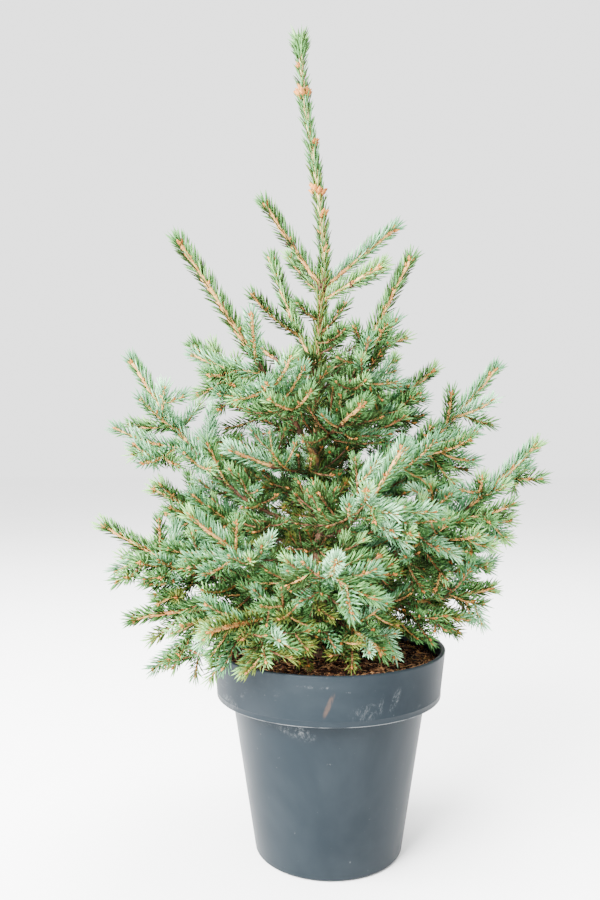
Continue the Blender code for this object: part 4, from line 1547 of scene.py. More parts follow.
@dataclass(frozen=True)
class PlasticFinish:
    """Weathered satin blue-grey plastic with pale scuffing, a painted highlight along the band's foot, a
    brown smear and fine scratches.

    A fade is the stretch of a pattern's value or of the height over which something comes in, and
    an end the stretch of the height over which it goes out.
    """

    base: Triple = (0.0079, 0.0117, 0.0149)
    lighter: Triple = (0.0136, 0.0183, 0.022)
    scuff_and_highlight: Triple = (0.2, 0.215, 0.22)
    earth: Triple = (0.12, 0.066, 0.04)
    cloudy: Grain = Grain(7.0, 5, 0.6, 0.6)
    cloudy_fade: Pair = (0.35, 0.68)
    spot_fade: Pair = (0.0, 0.6)
    flecks: Grain = Grain(150.0, 8, 0.8, 1.6)
    flecks_fade: Pair = (0.48, 0.74)
    streaks: Grain = Grain(60.0, 5, 0.7)
    streaks_fade: Pair = (0.42, 0.75)
    patches: Grain = Grain(13.0, 7, 0.72, 1.4)
    patches_fade: Pair = (0.55, 0.7)
    worn_fade: Pair = (BAND_FOOT - 0.028, BAND_FOOT + 0.002)
    worn_end: Pair = (BAND_TOP - 0.024, BAND_TOP)
    worn: float = 0.22
    # A pale line along the band's foot, cut up by noise: a painted highlight on its edge
    foot_highlight_fade: Pair = (BAND_FOOT - 0.0004, BAND_FOOT + 0.0001)
    foot_highlight_end: Pair = (BAND_FOOT + 0.0005, BAND_FOOT + 0.0012)
    foot: float = 0.6
    broken: Grain = Grain(45.0)
    broken_fade: Pair = (0.38, 0.55)
    most_scuff_and_highlight: float = 0.85
    specks: Grain = Grain(190.0, 3, 0.6)
    specks_fade: Pair = (0.7, 0.79)
    speck: float = 0.25
    earth_streaks: Grain = Grain(260.0)
    earth_fade: Pair = (0.3, 0.58)
    gloss_fade: Pair = (0.3, 1.0)
    gloss: float = 0.36
    dull: float = 0.6
    specular: float = 0.06
    scratches: Grain = Grain(500.0, 3)
    bump: Pair = (0.06, 0.0003)

    def spot(self, board: NodeBoard, mark: Mark) -> Socket:
        """Find how far a place lies inside a mark.

        Args:
            board: The material's nodes.
            mark: The mark.

        Returns:
            A value from 0 at the mark's edge to its strength at its middle.
        """
        turn = (0, math.radians(mark.tilt), 0)
        inside = board.place(mark.half, vector_type="TEXTURE", Location=mark.at, Rotation=turn)
        near = board.add("ShaderNodeTexGradient", inside, gradient_type="SPHERICAL")
        return board.window(near.outputs["Fac"], *self.spot_fade, mark.strength)

    def scuffs_and_highlight(self, board: NodeBoard, height: Socket) -> Socket:
        """Find where the plastic is scuffed, on the marks and in thin patches, and where a pale line along
        the band's foot paints a highlight.

        Args:
            board: The material's nodes.
            height: The height above the floor.

        Returns:
            A value that is higher where the plastic is paler.
        """
        plain = board.place()
        flecks = board.window(board.clouds(board.place((1, 1, 0.7)), self.flecks), *self.flecks_fade)
        streaks = board.window(board.clouds(board.place((1, 1, 5)), self.streaks), *self.streaks_fade)
        patches = board.window(board.clouds(plain, self.patches), *self.patches_fade)
        above = board.window(height, *self.worn_fade)
        below = board.window(height, *self.worn_end, 0.0, 1.0)
        worn = board.times(board.times(above, below), self.worn)
        found = board.times(board.times(patches, streaks), worn)
        for mark in POT_SCUFFS:
            found = board.plus(found, board.times(self.spot(board, mark), flecks))
        # The painted highlight: a pale line along the band's foot, cut up by noise
        foot_highlight_low = board.window(height, *self.foot_highlight_fade)
        foot_highlight_high = board.window(height, *self.foot_highlight_end, 0.0, 1.0)
        edge = board.times(board.times(foot_highlight_low, foot_highlight_high), self.foot)
        broken = board.window(board.clouds(plain, self.broken), *self.broken_fade)
        return board.plus(found, board.times(edge, broken))

    def material(self) -> bpy.types.Material:
        """Make the material."""
        board = NodeBoard("pot_plastic_weathered")
        plain = board.place()
        cloudy = board.clouds(plain, self.cloudy)
        body = board.mix(board.window(cloudy, *self.cloudy_fade), self.base, self.lighter)
        parts = board.add("ShaderNodeSeparateXYZ", board.coords)
        scuffs_and_highlight = self.scuffs_and_highlight(board, parts.outputs["Z"])
        # Pale where scuffed, and along the band's foot as a painted highlight
        body = board.mix(board.math("MINIMUM", scuffs_and_highlight, self.most_scuff_and_highlight), body, self.scuff_and_highlight)
        specks = board.window(board.clouds(plain, self.specks), *self.specks_fade)
        body = board.mix(board.times(specks, self.speck), body, self.scuff_and_highlight)
        streaks = board.window(board.clouds(board.place((1, 1, 0.3)), self.earth_streaks), *self.earth_fade)
        body = board.mix(board.times(self.spot(board, EARTH_SMEAR), streaks), body, self.earth)
        dulled = board.window(board.plus(scuffs_and_highlight, cloudy), *self.gloss_fade, self.dull, self.gloss)
        board.dress(body, dulled, self.specular)
        board.bump(board.clouds(board.place((1, 1, 0.25)), self.scratches), *self.bump)
        return board.material


@dataclass(frozen=True)
class PeatFinish:
    """Dark crumbly peat with tan fibres in it."""

    colours: tuple[Triple, ...] = ((0.004, 0.0015, 0.0006), (0.046, 0.014, 0.004), (0.42, 0.18, 0.065))
    crumbs: Grain = Grain(190.0, 8, 0.78)
    stops: Triple = (0.44, 0.58, 0.73)
    bump: Pair = (0.9, 0.002)
    shine: Pair = (0.95, 0.2)

    def material(self) -> bpy.types.Material:
        """Make the material."""
        board = NodeBoard("peat_crumbs")
        crumbs = board.clouds(board.place(), self.crumbs)
        board.dress(board.ramp(crumbs, self.stops, self.colours), *self.shine)
        board.bump(crumbs, *self.bump)
        return board.material


def keep(thing: bpy.types.Object, nodes: Iterable[str]) -> bpy.types.Object:
    """Let a piece ride on the plant and stand for its nodes.

    Args:
        thing: The piece.
        nodes: The names of the nodes.

    Returns:
        The piece.
    """
    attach(thing, "root")
    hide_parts(*nodes)
    LOG.info("%s: %d faces", thing.name, len(thing.data.polygons))
    return thing


def sweep_limb(line: Array, radii: Sequence[float], sides: int) -> bmesh.types.BMesh:
    """Extrude a ring along a line.

    Args:
        line: Rows of points.
        radii: The radius at each point.
        sides: The number of sides.

    Returns:
        A closed bmesh.
    """
    tangents = unit(np.gradient(line, axis=0))
    left, up = square_axes(tangents)
    frames = []
    for centre, x, y, z, radius in zip(line, left, up, tangents, radii):
        columns = (x * radius, y * radius, z * radius)
        turn = Matrix([[float(column[k]) for column in columns] for k in range(3)]).to_4x4()
        turn.translation = Vector([float(v) for v in centre])
        frames.append(turn)
    bm = bmesh.new()
    ring = bmesh.ops.create_circle(bm, cap_ends=True, segments=sides, radius=1.0)["verts"]
    bmesh.ops.transform(bm, matrix=frames[0], verts=ring)
    edges = list({edge for vert in ring for edge in vert.link_edges})
    for before, after in zip(frames, frames[1:]):
        grown = bmesh.ops.extrude_edge_only(bm, edges=edges)["geom"]
        ring = [item for item in grown if isinstance(item, bmesh.types.BMVert)]
        edges = [
            item
            for item in grown
            if isinstance(item, bmesh.types.BMEdge) and len(item.link_faces) == 1
        ]
        bmesh.ops.transform(bm, matrix=after @ before.inverted(), verts=ring)
    bmesh.ops.holes_fill(bm, edges=edges, sides=sides)
    bmesh.ops.recalc_face_normals(bm, faces=bm.faces[:])
    return bm


def finish_piece(
    bm: bmesh.types.BMesh, name: str, material: bpy.types.Material, sharp: float = 60.0
) -> bpy.types.Object:
    """Turn a bmesh into a smooth object.

    Args:
        bm: The bmesh, which is freed.
        name: The object's name.
        material: Its material.
        sharp: The angle in degrees from which an edge stays sharp.

    Returns:
        The object.
    """
    mesh = bpy.data.meshes.new(name)
    bm.to_mesh(mesh)
    bm.free()
    mesh.materials.append(material)
    mesh.shade_smooth()
    mesh.set_sharp_from_angle(angle=math.radians(sharp))
    return add_object(name, mesh)


@dataclass
class Limbs:
    """The trunk and the bare boughs, with the relief of their bark."""

    ring_step: float = 0.003
    trunk_sides: int = 28
    bough_sides: int = 14
    old_bark: BarkFinish = BarkFinish(
        "bark_old", ((0.03, 0.015, 0.01), (0.095, 0.045, 0.025), (0.22, 0.115, 0.062))
    )
    year_bark: BarkFinish = BarkFinish(
        "bark_year", ((0.13, 0.05, 0.018), (0.34, 0.16, 0.06), (0.48, 0.27, 0.12)), 340.0, 0.35, 0.35
    )
    young_bark: BarkFinish = BarkFinish(
        "bark_young", ((0.36, 0.19, 0.06), (0.58, 0.38, 0.15), (0.7, 0.54, 0.28)), 340.0, 0.35, 0.35
    )
    year_from: float = 0.465
    young_from: float = 0.632
    bough_year_from: float = 0.405
    leader_swells: tuple[Triple, ...] = ((0.632, 0.692, 0.28), (0.78, 0.85, 0.4))
    flakes: Triple = (330, 330, 120)
    ridges: Triple = (900, 900, 420)
    relief_shares: Pair = (0.7, 0.3)
    trunk_relief: float = 0.13
    bough_relief: float = 0.12
    flare_to: float = 0.24
    flare_height: float = 0.028
    flare_lobes: int = 5
    flare_turn: float = 0.6
    flare_rise: float = 0.14
    whorl_height: float = 0.006
    whorl_least: float = 0.95
    whorl_swell: float = 0.05
    whorl_most: float = 1.5
    bough_sunk: float = 0.35
    collar_rise: float = 0.45
    collar_rings: float = 2.5

    def relief(self, bm: bmesh.types.BMesh, centre_of: Callable[[Vector], Vector], depth: float) -> None:
        """Raise flakes and cracks on a limb.

        Args:
            bm: The limb's mesh.
            centre_of: A function that gives the limb's middle near a point.
            depth: The depth of the relief as a share of the radius.
        """
        for vert in bm.verts:
            out = vert.co - centre_of(vert.co)
            if out.length < LEAST_RADIUS:
                continue
            flake = noise.noise(Vector([at * pitch for at, pitch in zip(vert.co, self.flakes)]))
            ridge = noise.noise(Vector([at * pitch for at, pitch in zip(vert.co, self.ridges)]))
            raised = self.relief_shares[0] * flake + self.relief_shares[1] * ridge
            vert.co += out.normalized() * (out.length * depth * raised)

    def build_trunk(self) -> bpy.types.Object:
        """The trunk from its flat cut at the soil, through its root flare, to its tip."""
        low = TRUNK.soil + GAP
        line = TRUNK.line(low, TRUNK.tip, self.ring_step)
        radii = [self.trunk_radius(point[2]) for point in line]
        bm = sweep_limb(line, radii, self.trunk_sides)
        for vert in bm.verts:
            height = vert.co.z
            if height < self.flare_to:
                centre = Vector(TRUNK.point(height))
                angle = math.atan2(vert.co.y - centre.y, vert.co.x - centre.x)
                flare = (self.flare_to - height) / self.flare_height
                lobe = self.flare_rise * flare**2 * math.sin(self.flare_lobes * angle + self.flare_turn)
                vert.co.x += (vert.co.x - centre.x) * lobe
                vert.co.y += (vert.co.y - centre.y) * lobe
        self.relief(bm, lambda co: Vector(TRUNK.point(co.z)), self.trunk_relief)
        for vert in bm.verts:
            vert.co.z = max(vert.co.z, low)
        thing = finish_piece(bm, "trunk_bark", self.old_bark.material())
        thing.data.materials.append(self.year_bark.material())
        thing.data.materials.append(self.young_bark.material())
        for face in thing.data.polygons:
            height = face.center.z
            face.material_index = int(height > self.year_from) + int(height > self.young_from)
        return keep(thing, ("trunk",))

    def trunk_radius(self, height: float) -> float:
        """Find the trunk's radius, which swells at each whorl and towards the leader's tip.

        Args:
            height: The height.

        Returns:
            The radius.
        """
        gaps = [(height - plan.height) / self.whorl_height for plan in BOUGHS.values()]
        swell = sum(math.exp(-(gap**2)) for gap in gaps)
        share = self.whorl_least + self.whorl_swell * min(swell, self.whorl_most)
        more = 0
        for low, high, rise in self.leader_swells:
            more += rise * min(max((height - low) / (high - low), 0.0), 1.0)
        return TRUNK.radius(height) * (share + more)

    def build_boughs(self) -> bpy.types.Object:
        """All bare boughs as one piece, each seated in the trunk's bark."""
        joined = bmesh.new()
        names = [name for name, plan in BOUGHS.items() if plan.bare]
        for name in names:
            plan = BOUGHS[name]
            first = self.bough_sunk * plan.root_share()
            count = max(6, round(plan.length() * plan.bare / self.ring_step))
            line = plan.points(first, plan.bare, count)
            rings = range(count + 1)
            collar = [1.0 + self.collar_rise * math.exp(-((i / self.collar_rings) ** 2)) for i in rings]
            radii = [plan.radius(first + (plan.bare - first) * i / count) * c for i, c in enumerate(collar)]
            bm = sweep_limb(line, radii, self.bough_sides)
            self.relief(bm, lambda co, row=line: nearest(row, co), self.bough_relief)
            mesh = bpy.data.meshes.new("bough")
            bm.to_mesh(mesh)
            bm.free()
            joined.from_mesh(mesh)
            bpy.data.meshes.remove(mesh)
        thing = finish_piece(joined, "bough_bark", bpy.data.materials["bark_old"])
        thing.data.materials.append(bpy.data.materials["bark_year"])
        for face in thing.data.polygons:
            face.material_index = int(face.center.z > self.bough_year_from)
        return keep(thing, ["bough_" + name for name in names])


def nearest(line: Array, point: Vector) -> Vector:
    """The point of a line that is nearest to a point."""
    gaps = np.linalg.norm(line - np.array(point), axis=1)
    return Vector(line[int(gaps.argmin())])


LEADER_NEEDLES = tuple(
    NeedleStretch(*row)
    for row in (
        (0.4, 0.545, 1100, 52, 0.011, Tint.OLIVE),
        (0.4, 0.545, 900, 44, 0.0115, Tint.DEEP),
        (0.54, 0.64, 1200, 31, 0.014, Tint.OLIVE),
        (0.54, 0.64, 700, 35, 0.0135, Tint.GREEN),
        (0.636, 0.76, 1100, 27, 0.015, Tint.GREEN),
        (0.636, 0.76, 500, 28, 0.0145, Tint.OLIVE),
        (0.636, 0.76, 500, 29, 0.0145, Tint.DEEP),
        (0.75, 0.85, 1100, 28, 0.0155, Tint.GREEN),
        (0.75, 0.85, 500, 30, 0.015, Tint.DEEP),
        (0.75, 0.85, 300, 27, 0.015, Tint.BLUE),
        (0.85, 0.892, 900, 38, 0.014, Tint.GREEN),
        (0.85, 0.892, 500, 36, 0.0135, Tint.DEEP),
        (0.888, 0.9062, 3400, 44, 0.0165, Tint.GREEN),
        (0.888, 0.9062, 1200, 46, 0.016, Tint.DEEP),
        (0.888, 0.9062, 2000, 36, 0.017, Tint.FRESH),
    )
)


@dataclass(frozen=True)
class BudFan:
    """A fan of buds on one side of the leader: height, bearing, how many and how large."""

    height: float
    bearing: float
    count: int
    size: float


LEADER_BUDS = tuple(
    BudFan(*row)
    for row in (
        (0.903, 30, 4, 1.3),
        (0.876, 190, 4, 1.4),
        (0.87, 60, 2, 1.2),
        (0.846, 205, 6, 2.1),
        (0.846, -15, 5, 1.9),
        (0.844, 95, 4, 1.7),
        (0.815, 120, 2, 1.2),
        (0.789, -25, 4, 1.6),
        (0.768, 150, 2, 1.2),
        (0.737, 205, 5, 1.8),
        (0.733, -40, 5, 1.9),
        (0.735, 85, 3, 1.6),
        (0.708, -55, 4, 1.6),
        (0.69, 210, 2, 1.2),
        (0.668, -60, 3, 1.3),
    )
)


def group_of(mass: str) -> str:
    """Find the group of masses whose needles are joined: a tier of the crown, and a side of it.

    Args:
        mass: The name of a mass.

    Returns:
        The group's name.
    """
    if mass in ("internode", "leader") or mass.startswith(("top_", "upper_")):
        return "top"
    side = "left" if math.cos(math.radians(BOUGHS[mass].bearing)) < 0 else "right"
    return mass.split("_")[0] + "_" + side


@dataclass
class Dressing:
    """Needles and twigs of the whole crown."""

    crown: Crown
    foliage: Foliage = field(default_factory=Foliage)
    tan: PlainTwigFinish = PlainTwigFinish("twig_tan", (0.52, 0.29, 0.09), (0.3, 0.115, 0.028))
    young: PlainTwigFinish = PlainTwigFinish("twig_young", (0.32, 0.14, 0.05), (0.085, 0.034, 0.015))
    old: PlainTwigFinish = PlainTwigFinish("twig_old", (0.13, 0.054, 0.024), (0.04, 0.017, 0.009))
    sides: tuple[int, ...] = (7, 5, 4)
    peg_step: float = 0.0034
    peg_rise: float = 0.18
    peg_low: float = -0.6
    twig_to: float = 0.985
    twig_off: Pair = (0.9, 1.1)
    old_share: float = 0.52
    tan_from: float = 0.8
    young_from: float = 0.45
    tan_chance: float = 0.25
    young_chance: float = 0.45
    limb_needles_from: float = 0.4
    limb_fullness: float = 0.5
    limb_vigour: float = 0.78
    seed: int = 6

    def groups(self) -> dict[str, list[str]]:
        """The masses by the group that they belong to."""
        found: dict[str, list[str]] = {}
        for name in [*BOUGHS, "internode", "leader"]:
            found.setdefault(group_of(name), []).append(name)
        return found

    def build_needles(self) -> None:
        """Make the needles of each group as one piece, with colours dealt out by spray."""
        materials = [finish.material() for finish in NEEDLE_FINISHES]
        slots = {finish.tint: i for i, finish in enumerate(NEEDLE_FINISHES)}
        for group, masses in self.groups().items():
            batch = MeshBatch()
            shoots = [shoot for shoot in self.crown.shoots if shoot.mass in masses]
            shoots += [self.limb_shoot(name) for name in masses if name in BOUGHS and BOUGHS[name].bare]
            for shoot in shoots:
                for verts, faces, tint in self.foliage.shoot_needles(shoot):
                    batch.add(verts, faces, slots[tint])
            for stretch in LEADER_NEEDLES if "leader" in masses else ():
                batch.add(*self.foliage.trunk_needles(stretch), slots[stretch.tint])
            thing = batch.build("needles_" + group, materials)
            keep(thing, ["foliage_" + name for name in masses])

    def limb_shoot(self, name: str) -> Shoot:
        """Take the outer part of a bare bough as a shoot that bears a few short old needles.

        Args:
            name: The bough's name.

        Returns:
            The shoot.
        """
        plan = BOUGHS[name]
        first = self.limb_needles_from * plan.bare
        shoot = Shoot(name, plan.points(first, plan.bare, 12), plan.radius(first), 1, Tint.OLIVE, Tint.DEEP)
        shoot.thick = 1.0
        shoot.tip_radius = plan.radius(plan.bare)
        shoot.fullness = self.limb_fullness
        shoot.vigour = self.limb_vigour
        return shoot

    def build_twigs(self) -> None:
        """Make the bark of every shoot, rough with the pegs that bear its needles."""
        rng = np.random.default_rng(self.seed)
        batch = MeshBatch()
        for shoot in self.crown.shoots:
            count = max(4, round(shoot.length() / self.peg_step))
            shares = np.linspace(0.0, self.twig_to, count + 1)
            line, _ = points_along(shoot.line, shares)
            pegs = 1 + self.peg_rise * np.where(np.arange(count + 1) % 2, 1.0, self.peg_low)
            radii = shoot.radii(shares) * pegs * rng.uniform(*self.twig_off, count + 1)
            sides = self.sides[min(shoot.order, len(self.sides) - 1)]
            batch.add(*tube(line, radii, sides), self.bark_slot(shoot, rng.random()))
            if shoot.order == 0 and mass_age(shoot.mass) > 0:
                batch.slots[-1][: 2 * sides * int(self.old_share * count)] = 2
        thing = batch.build("twigs", (self.tan.material(), self.young.material(), self.old.material()))
        keep(thing, ["foliage_" + name for name in [*BOUGHS, "internode"]])

    def bark_slot(self, shoot: Shoot, chance: float) -> int:
        """Choose a shoot's bark: tan at the crown's edge, orange within, brown at its heart.

        Args:
            shoot: The shoot.
            chance: A chance from 0 to 1.

        Returns:
            The slot of the bark's material.
        """
        if shoot.order == 0 or shoot.depth > self.tan_from:
            return 0
        if shoot.depth > self.young_from:
            return 0 if chance < self.tan_chance else 1
        return 1 if chance < self.young_chance else 2


@dataclass
class Buds:
    """The buds at the shoots' tips and sides and along the leader, and the scales of old buds.

    A pair is the span of a chance value, and a name that ends in off is how far one strays.
    """

    crown: Crown
    bud: PlainTwigFinish = PlainTwigFinish("bud_scales", (0.42, 0.165, 0.028), (0.19, 0.055, 0.01))
    scales: PlainTwigFinish = PlainTwigFinish("whorl_scales", (0.11, 0.042, 0.02), (0.028, 0.012, 0.007))
    radius: float = 0.00165
    length: float = 0.005
    shape: tuple[Triple, Triple] = ((0.0, 0.35, 1.0), (0.7, 1.0, 0.15))
    outer_from: float = 0.7
    main_size: float = 1.55
    main_back: float = 0.006
    back: float = 0.003
    cluster_turn: float = 2.4
    cluster_lean: float = 0.8
    cluster_less: float = 0.8
    cluster_aside: float = 0.0009
    sizes: Pair = (0.85, 1.15)
    side_size: float = 0.9
    side_step: float = 0.013
    side_step_off: float = 0.3
    sides_from: float = 0.4
    side_lifts: Pair = (0.1, 1.2)
    side_sizes: Pair = (0.8, 1.2)
    side_ahead: float = 0.9
    whorls: tuple[float, ...] = (0.53, 0.628)
    whorl_scales: int = 44
    whorl_off: float = 0.006
    whorl_lifts: Pair = (0.2, 1.0)
    whorl_sizes: Pair = (1.0, 1.5)
    whorl_sunk: float = 0.9
    ring_at: float = 0.46
    ring_at_off: float = 0.06
    ring_scales: int = 9
    ring_off: float = 0.002
    ring_sunk: float = 0.8
    ring_ahead: float = 0.9
    ring_sizes: Pair = (0.65, 0.95)
    fan_lean: float = 0.55
    fan_aside: float = 0.0015
    fan_lifts: Pair = (0.5, 1.2)
    fan_off: Pair = (-0.003, 0.002)
    seed: int = 5

    def __post_init__(self) -> None:
        """Start the mesh and the seeded source of chance."""
        self.batch = MeshBatch()
        self.rng = np.random.default_rng(self.seed)

    def build(self) -> None:
        """Make all buds and scales as one piece."""
        for shoot in self.crown.shoots:
            self.at_tip(shoot)
            if shoot.depth > self.outer_from or mass_age(shoot.mass) == 0:
                self.along(shoot)
        for fan in LEADER_BUDS:
            self.on_leader(fan)
        for height in self.whorls:
            self.whorl(height)
        thing = self.batch.build("buds", (self.bud.material(), self.scales.material()))
        keep(thing, ("foliage_leader",))

    def at_tip(self, shoot: Shoot) -> None:
        """Add the cluster at a shoot's tip, and a main shoot's ring of scales.

        Args:
            shoot: The shoot that bears them.
        """
        main = shoot.order == 0
        back = self.main_back if main else self.back
        points, ways = points_along(shoot.line, np.array((1 - back / shoot.length(),)))
        count = 1 + int(self.rng.integers(0, 2))
        if shoot.depth > self.outer_from:
            count += 2
        if main:
            count += 3
            self.scale_ring(shoot)
        self.cluster(points[0], ways[0], count, self.main_size if main else 1.0)

    def cluster(self, point: Array, way: Array, count: int, size: float) -> None:
        """Add one tip bud and the smaller ones round it.

        Args:
            point: The place.
            way: The shoot's direction.
            count: How many buds.
            size: The tip bud's size.
        """
        left, up = square_axes(way[None, :])
        for i in range(count):
            angle = i * self.cluster_turn + self.rng.uniform(0, 1)
            aside = left[0] * math.cos(angle) + up[0] * math.sin(angle)
            lean = self.cluster_lean if i else 0.0
            grown = size * (self.cluster_less if i else 1.0) * self.rng.uniform(*self.sizes)
            start = point + aside * (self.cluster_aside * size if i else 0.0)
            self.add(start, unit(way + aside * lean), grown)

    def along(self, shoot: Shoot) -> None:
        """Add the single buds along the outer part of a shoot, left and right by turns.

        Args:
            shoot: The shoot that bears them.
        """
        rng = self.rng
        length = shoot.length()
        count = int(length * (1 - self.sides_from) / self.side_step)
        if not count:
            return
        steps = np.arange(1, count + 1) + rng.uniform(-self.side_step_off, self.side_step_off, count)
        points, ways = points_along(shoot.line, 1 - steps * self.side_step / length)
        left, up = square_axes(ways)
        for i in range(count):
            hand = 1 if i % 2 else -1
            out = unit(left[i] * hand + up[i] * rng.uniform(*self.side_lifts))
            size = self.side_size * rng.uniform(*self.side_sizes)
            self.add(points[i] + out * shoot.tip_radius, unit(ways[i] * self.side_ahead + out), size)

    def on_leader(self, fan: BudFan) -> None:
        """Add a fan of buds on one side of the leader.

        Args:
            fan: The fan.
        """
        rng = self.rng
        out = level_way(fan.bearing)
        across = level_way(fan.bearing + 90)
        start = TRUNK.point(fan.height) + out * TRUNK.radius(fan.height)
        for i in range(fan.count):
            lean = (i - 0.5 * (fan.count - 1)) * self.fan_lean
            way = unit(out + UP * rng.uniform(*self.fan_lifts) + across * lean)
            point = start + across * (self.fan_aside * lean) + UP * rng.uniform(*self.fan_off)
            self.add(point, way, fan.size * rng.uniform(*self.sizes))

    def whorl(self, height: float) -> None:
        """Add the dark scales that stay round the trunk where a year's growth began.

        Args:
            height: The height on the trunk.
        """
        rng = self.rng
        for i in range(self.whorl_scales):
            out = level_way(i * GOLDEN_TURN)
            point = TRUNK.point(height + rng.uniform(-self.whorl_off, self.whorl_off))
            way = unit(out + UP * rng.uniform(*self.whorl_lifts))
            start = point + out * (self.whorl_sunk * TRUNK.radius(height))
            self.add(start, way, rng.uniform(*self.whorl_sizes), 1)

    def scale_ring(self, shoot: Shoot) -> None:
        """Add the dark scales round a main shoot where its last year's growth began.

        Args:
            shoot: The shoot that bears them.
        """
        rng = self.rng
        share = np.array((self.ring_at + rng.uniform(-self.ring_at_off, self.ring_at_off),))
        points, ways = points_along(shoot.line, share)
        left, up = square_axes(ways)
        radius = float(shoot.radii(share)[0])
        for i in range(self.ring_scales):
            angle = math.tau * i / self.ring_scales
            out = left[0] * math.cos(angle) + up[0] * math.sin(angle)
            start = points[0] + out * (self.ring_sunk * radius)
            start = start + ways[0] * rng.uniform(-self.ring_off, self.ring_off)
            self.add(start, unit(out + ways[0] * self.ring_ahead), rng.uniform(*self.ring_sizes), 1)

    def add(self, point: Array, way: Array, size: float, slot: int = 0) -> None:
        """Add one pointed bud.

        Args:
            point: Its root.
            way: Its unit direction.
            size: Its size.
            slot: The slot of its material.
        """
        shares, widths = self.shape
        radii = np.array(widths) * self.radius * size
        line = point + way * (self.length * size * np.array(shares))[:, None]
        self.batch.add(*tube(line, radii, 4), slot)


@dataclass
class Pot:
    """The plastic pot, turned from one outline."""

    sides: int = 144
    height: float = 0.225
    base_radius: float = 0.082
    neck_radius: float = 0.108
    band_radius: float = 0.125
    rim_radius: float = 0.13
    band_foot: float = BAND_FOOT
    wall: float = 0.0022
    floor: float = 0.0025
    edge: float = 0.004
    round: float = 0.0015
    finish: PlasticFinish = PlasticFinish()

    def outline(self) -> list[Pair]:
        """The outline from the middle of the underside round to the middle of the floor."""
        base, neck, band, rim = self.base_radius, self.neck_radius, self.band_radius, self.rim_radius
        foot, top, soft = self.band_foot, self.height, self.round
        points = [(0.0, 0.0)]
        points += arc(base - self.edge, self.edge, self.edge, -90, -5, 6)
        rise = foot - self.edge - soft
        points += [(base + (neck - base) * t, self.edge + rise * t) for t in (0.25, 0.5, 0.75, 0.98)]
        points += arc(neck + soft * 0.8, foot - soft * 0.8, soft * 0.8, 180, 90, 4)
        points += arc(band - soft, foot + soft, soft, -90, 5, 5)
        points += arc(band - 0.0002, foot + 4.2 * soft, soft * 0.25, -60, 60, 2)
        points += arc(rim - soft, top - soft, soft, 0, 90, 5)
        points += arc(rim - 2 * soft, top - soft, soft, 90, 170, 5)
        points += arc(band - 2.2 * soft, foot + self.wall + 2 * soft, soft, 0, -90, 3)
        points += [(neck - self.wall, foot + self.wall - 0.0005), (base - self.wall, self.floor + self.edge)]
        points += [(base - self.wall - self.edge, self.floor), (0.0, self.floor)]
        return points

    def build(self) -> bpy.types.Object:
        """Make the pot."""
        bm = turned(self.outline(), self.sides)
        thing = finish_piece(bm, "pot_shell", self.finish.material(), sharp=38.0)
        return keep(thing, ("pot",))


def arc(x: float, z: float, radius: float, start: float, end: float, steps: int) -> list[Pair]:
    """Points of an arc of an outline."""
    angles = [math.radians(start + (end - start) * i / steps) for i in range(steps + 1)]
    return [(x + radius * math.cos(a), z + radius * math.sin(a)) for a in angles]


def turned(outline: Sequence[Pair], sides: int) -> bmesh.types.BMesh:
    """Turn an outline about the Z axis.

    Args:
        outline: Its points, each a radius and a height.
        sides: The number of sides.

    Returns:
        A closed bmesh.
    """
    bm = bmesh.new()
    verts = [bm.verts.new((radius, 0.0, height)) for radius, height in outline]
    edges = [bm.edges.new(pair) for pair in zip(verts, verts[1:])]
    bmesh.ops.spin(
        bm, geom=verts + edges, cent=(0, 0, 0), axis=(0, 0, 1), angle=math.tau, steps=sides, use_merge=True
    )
    bmesh.ops.remove_doubles(bm, verts=bm.verts[:], dist=0.00001)
    bmesh.ops.recalc_face_normals(bm, faces=bm.faces[:])
    return bm


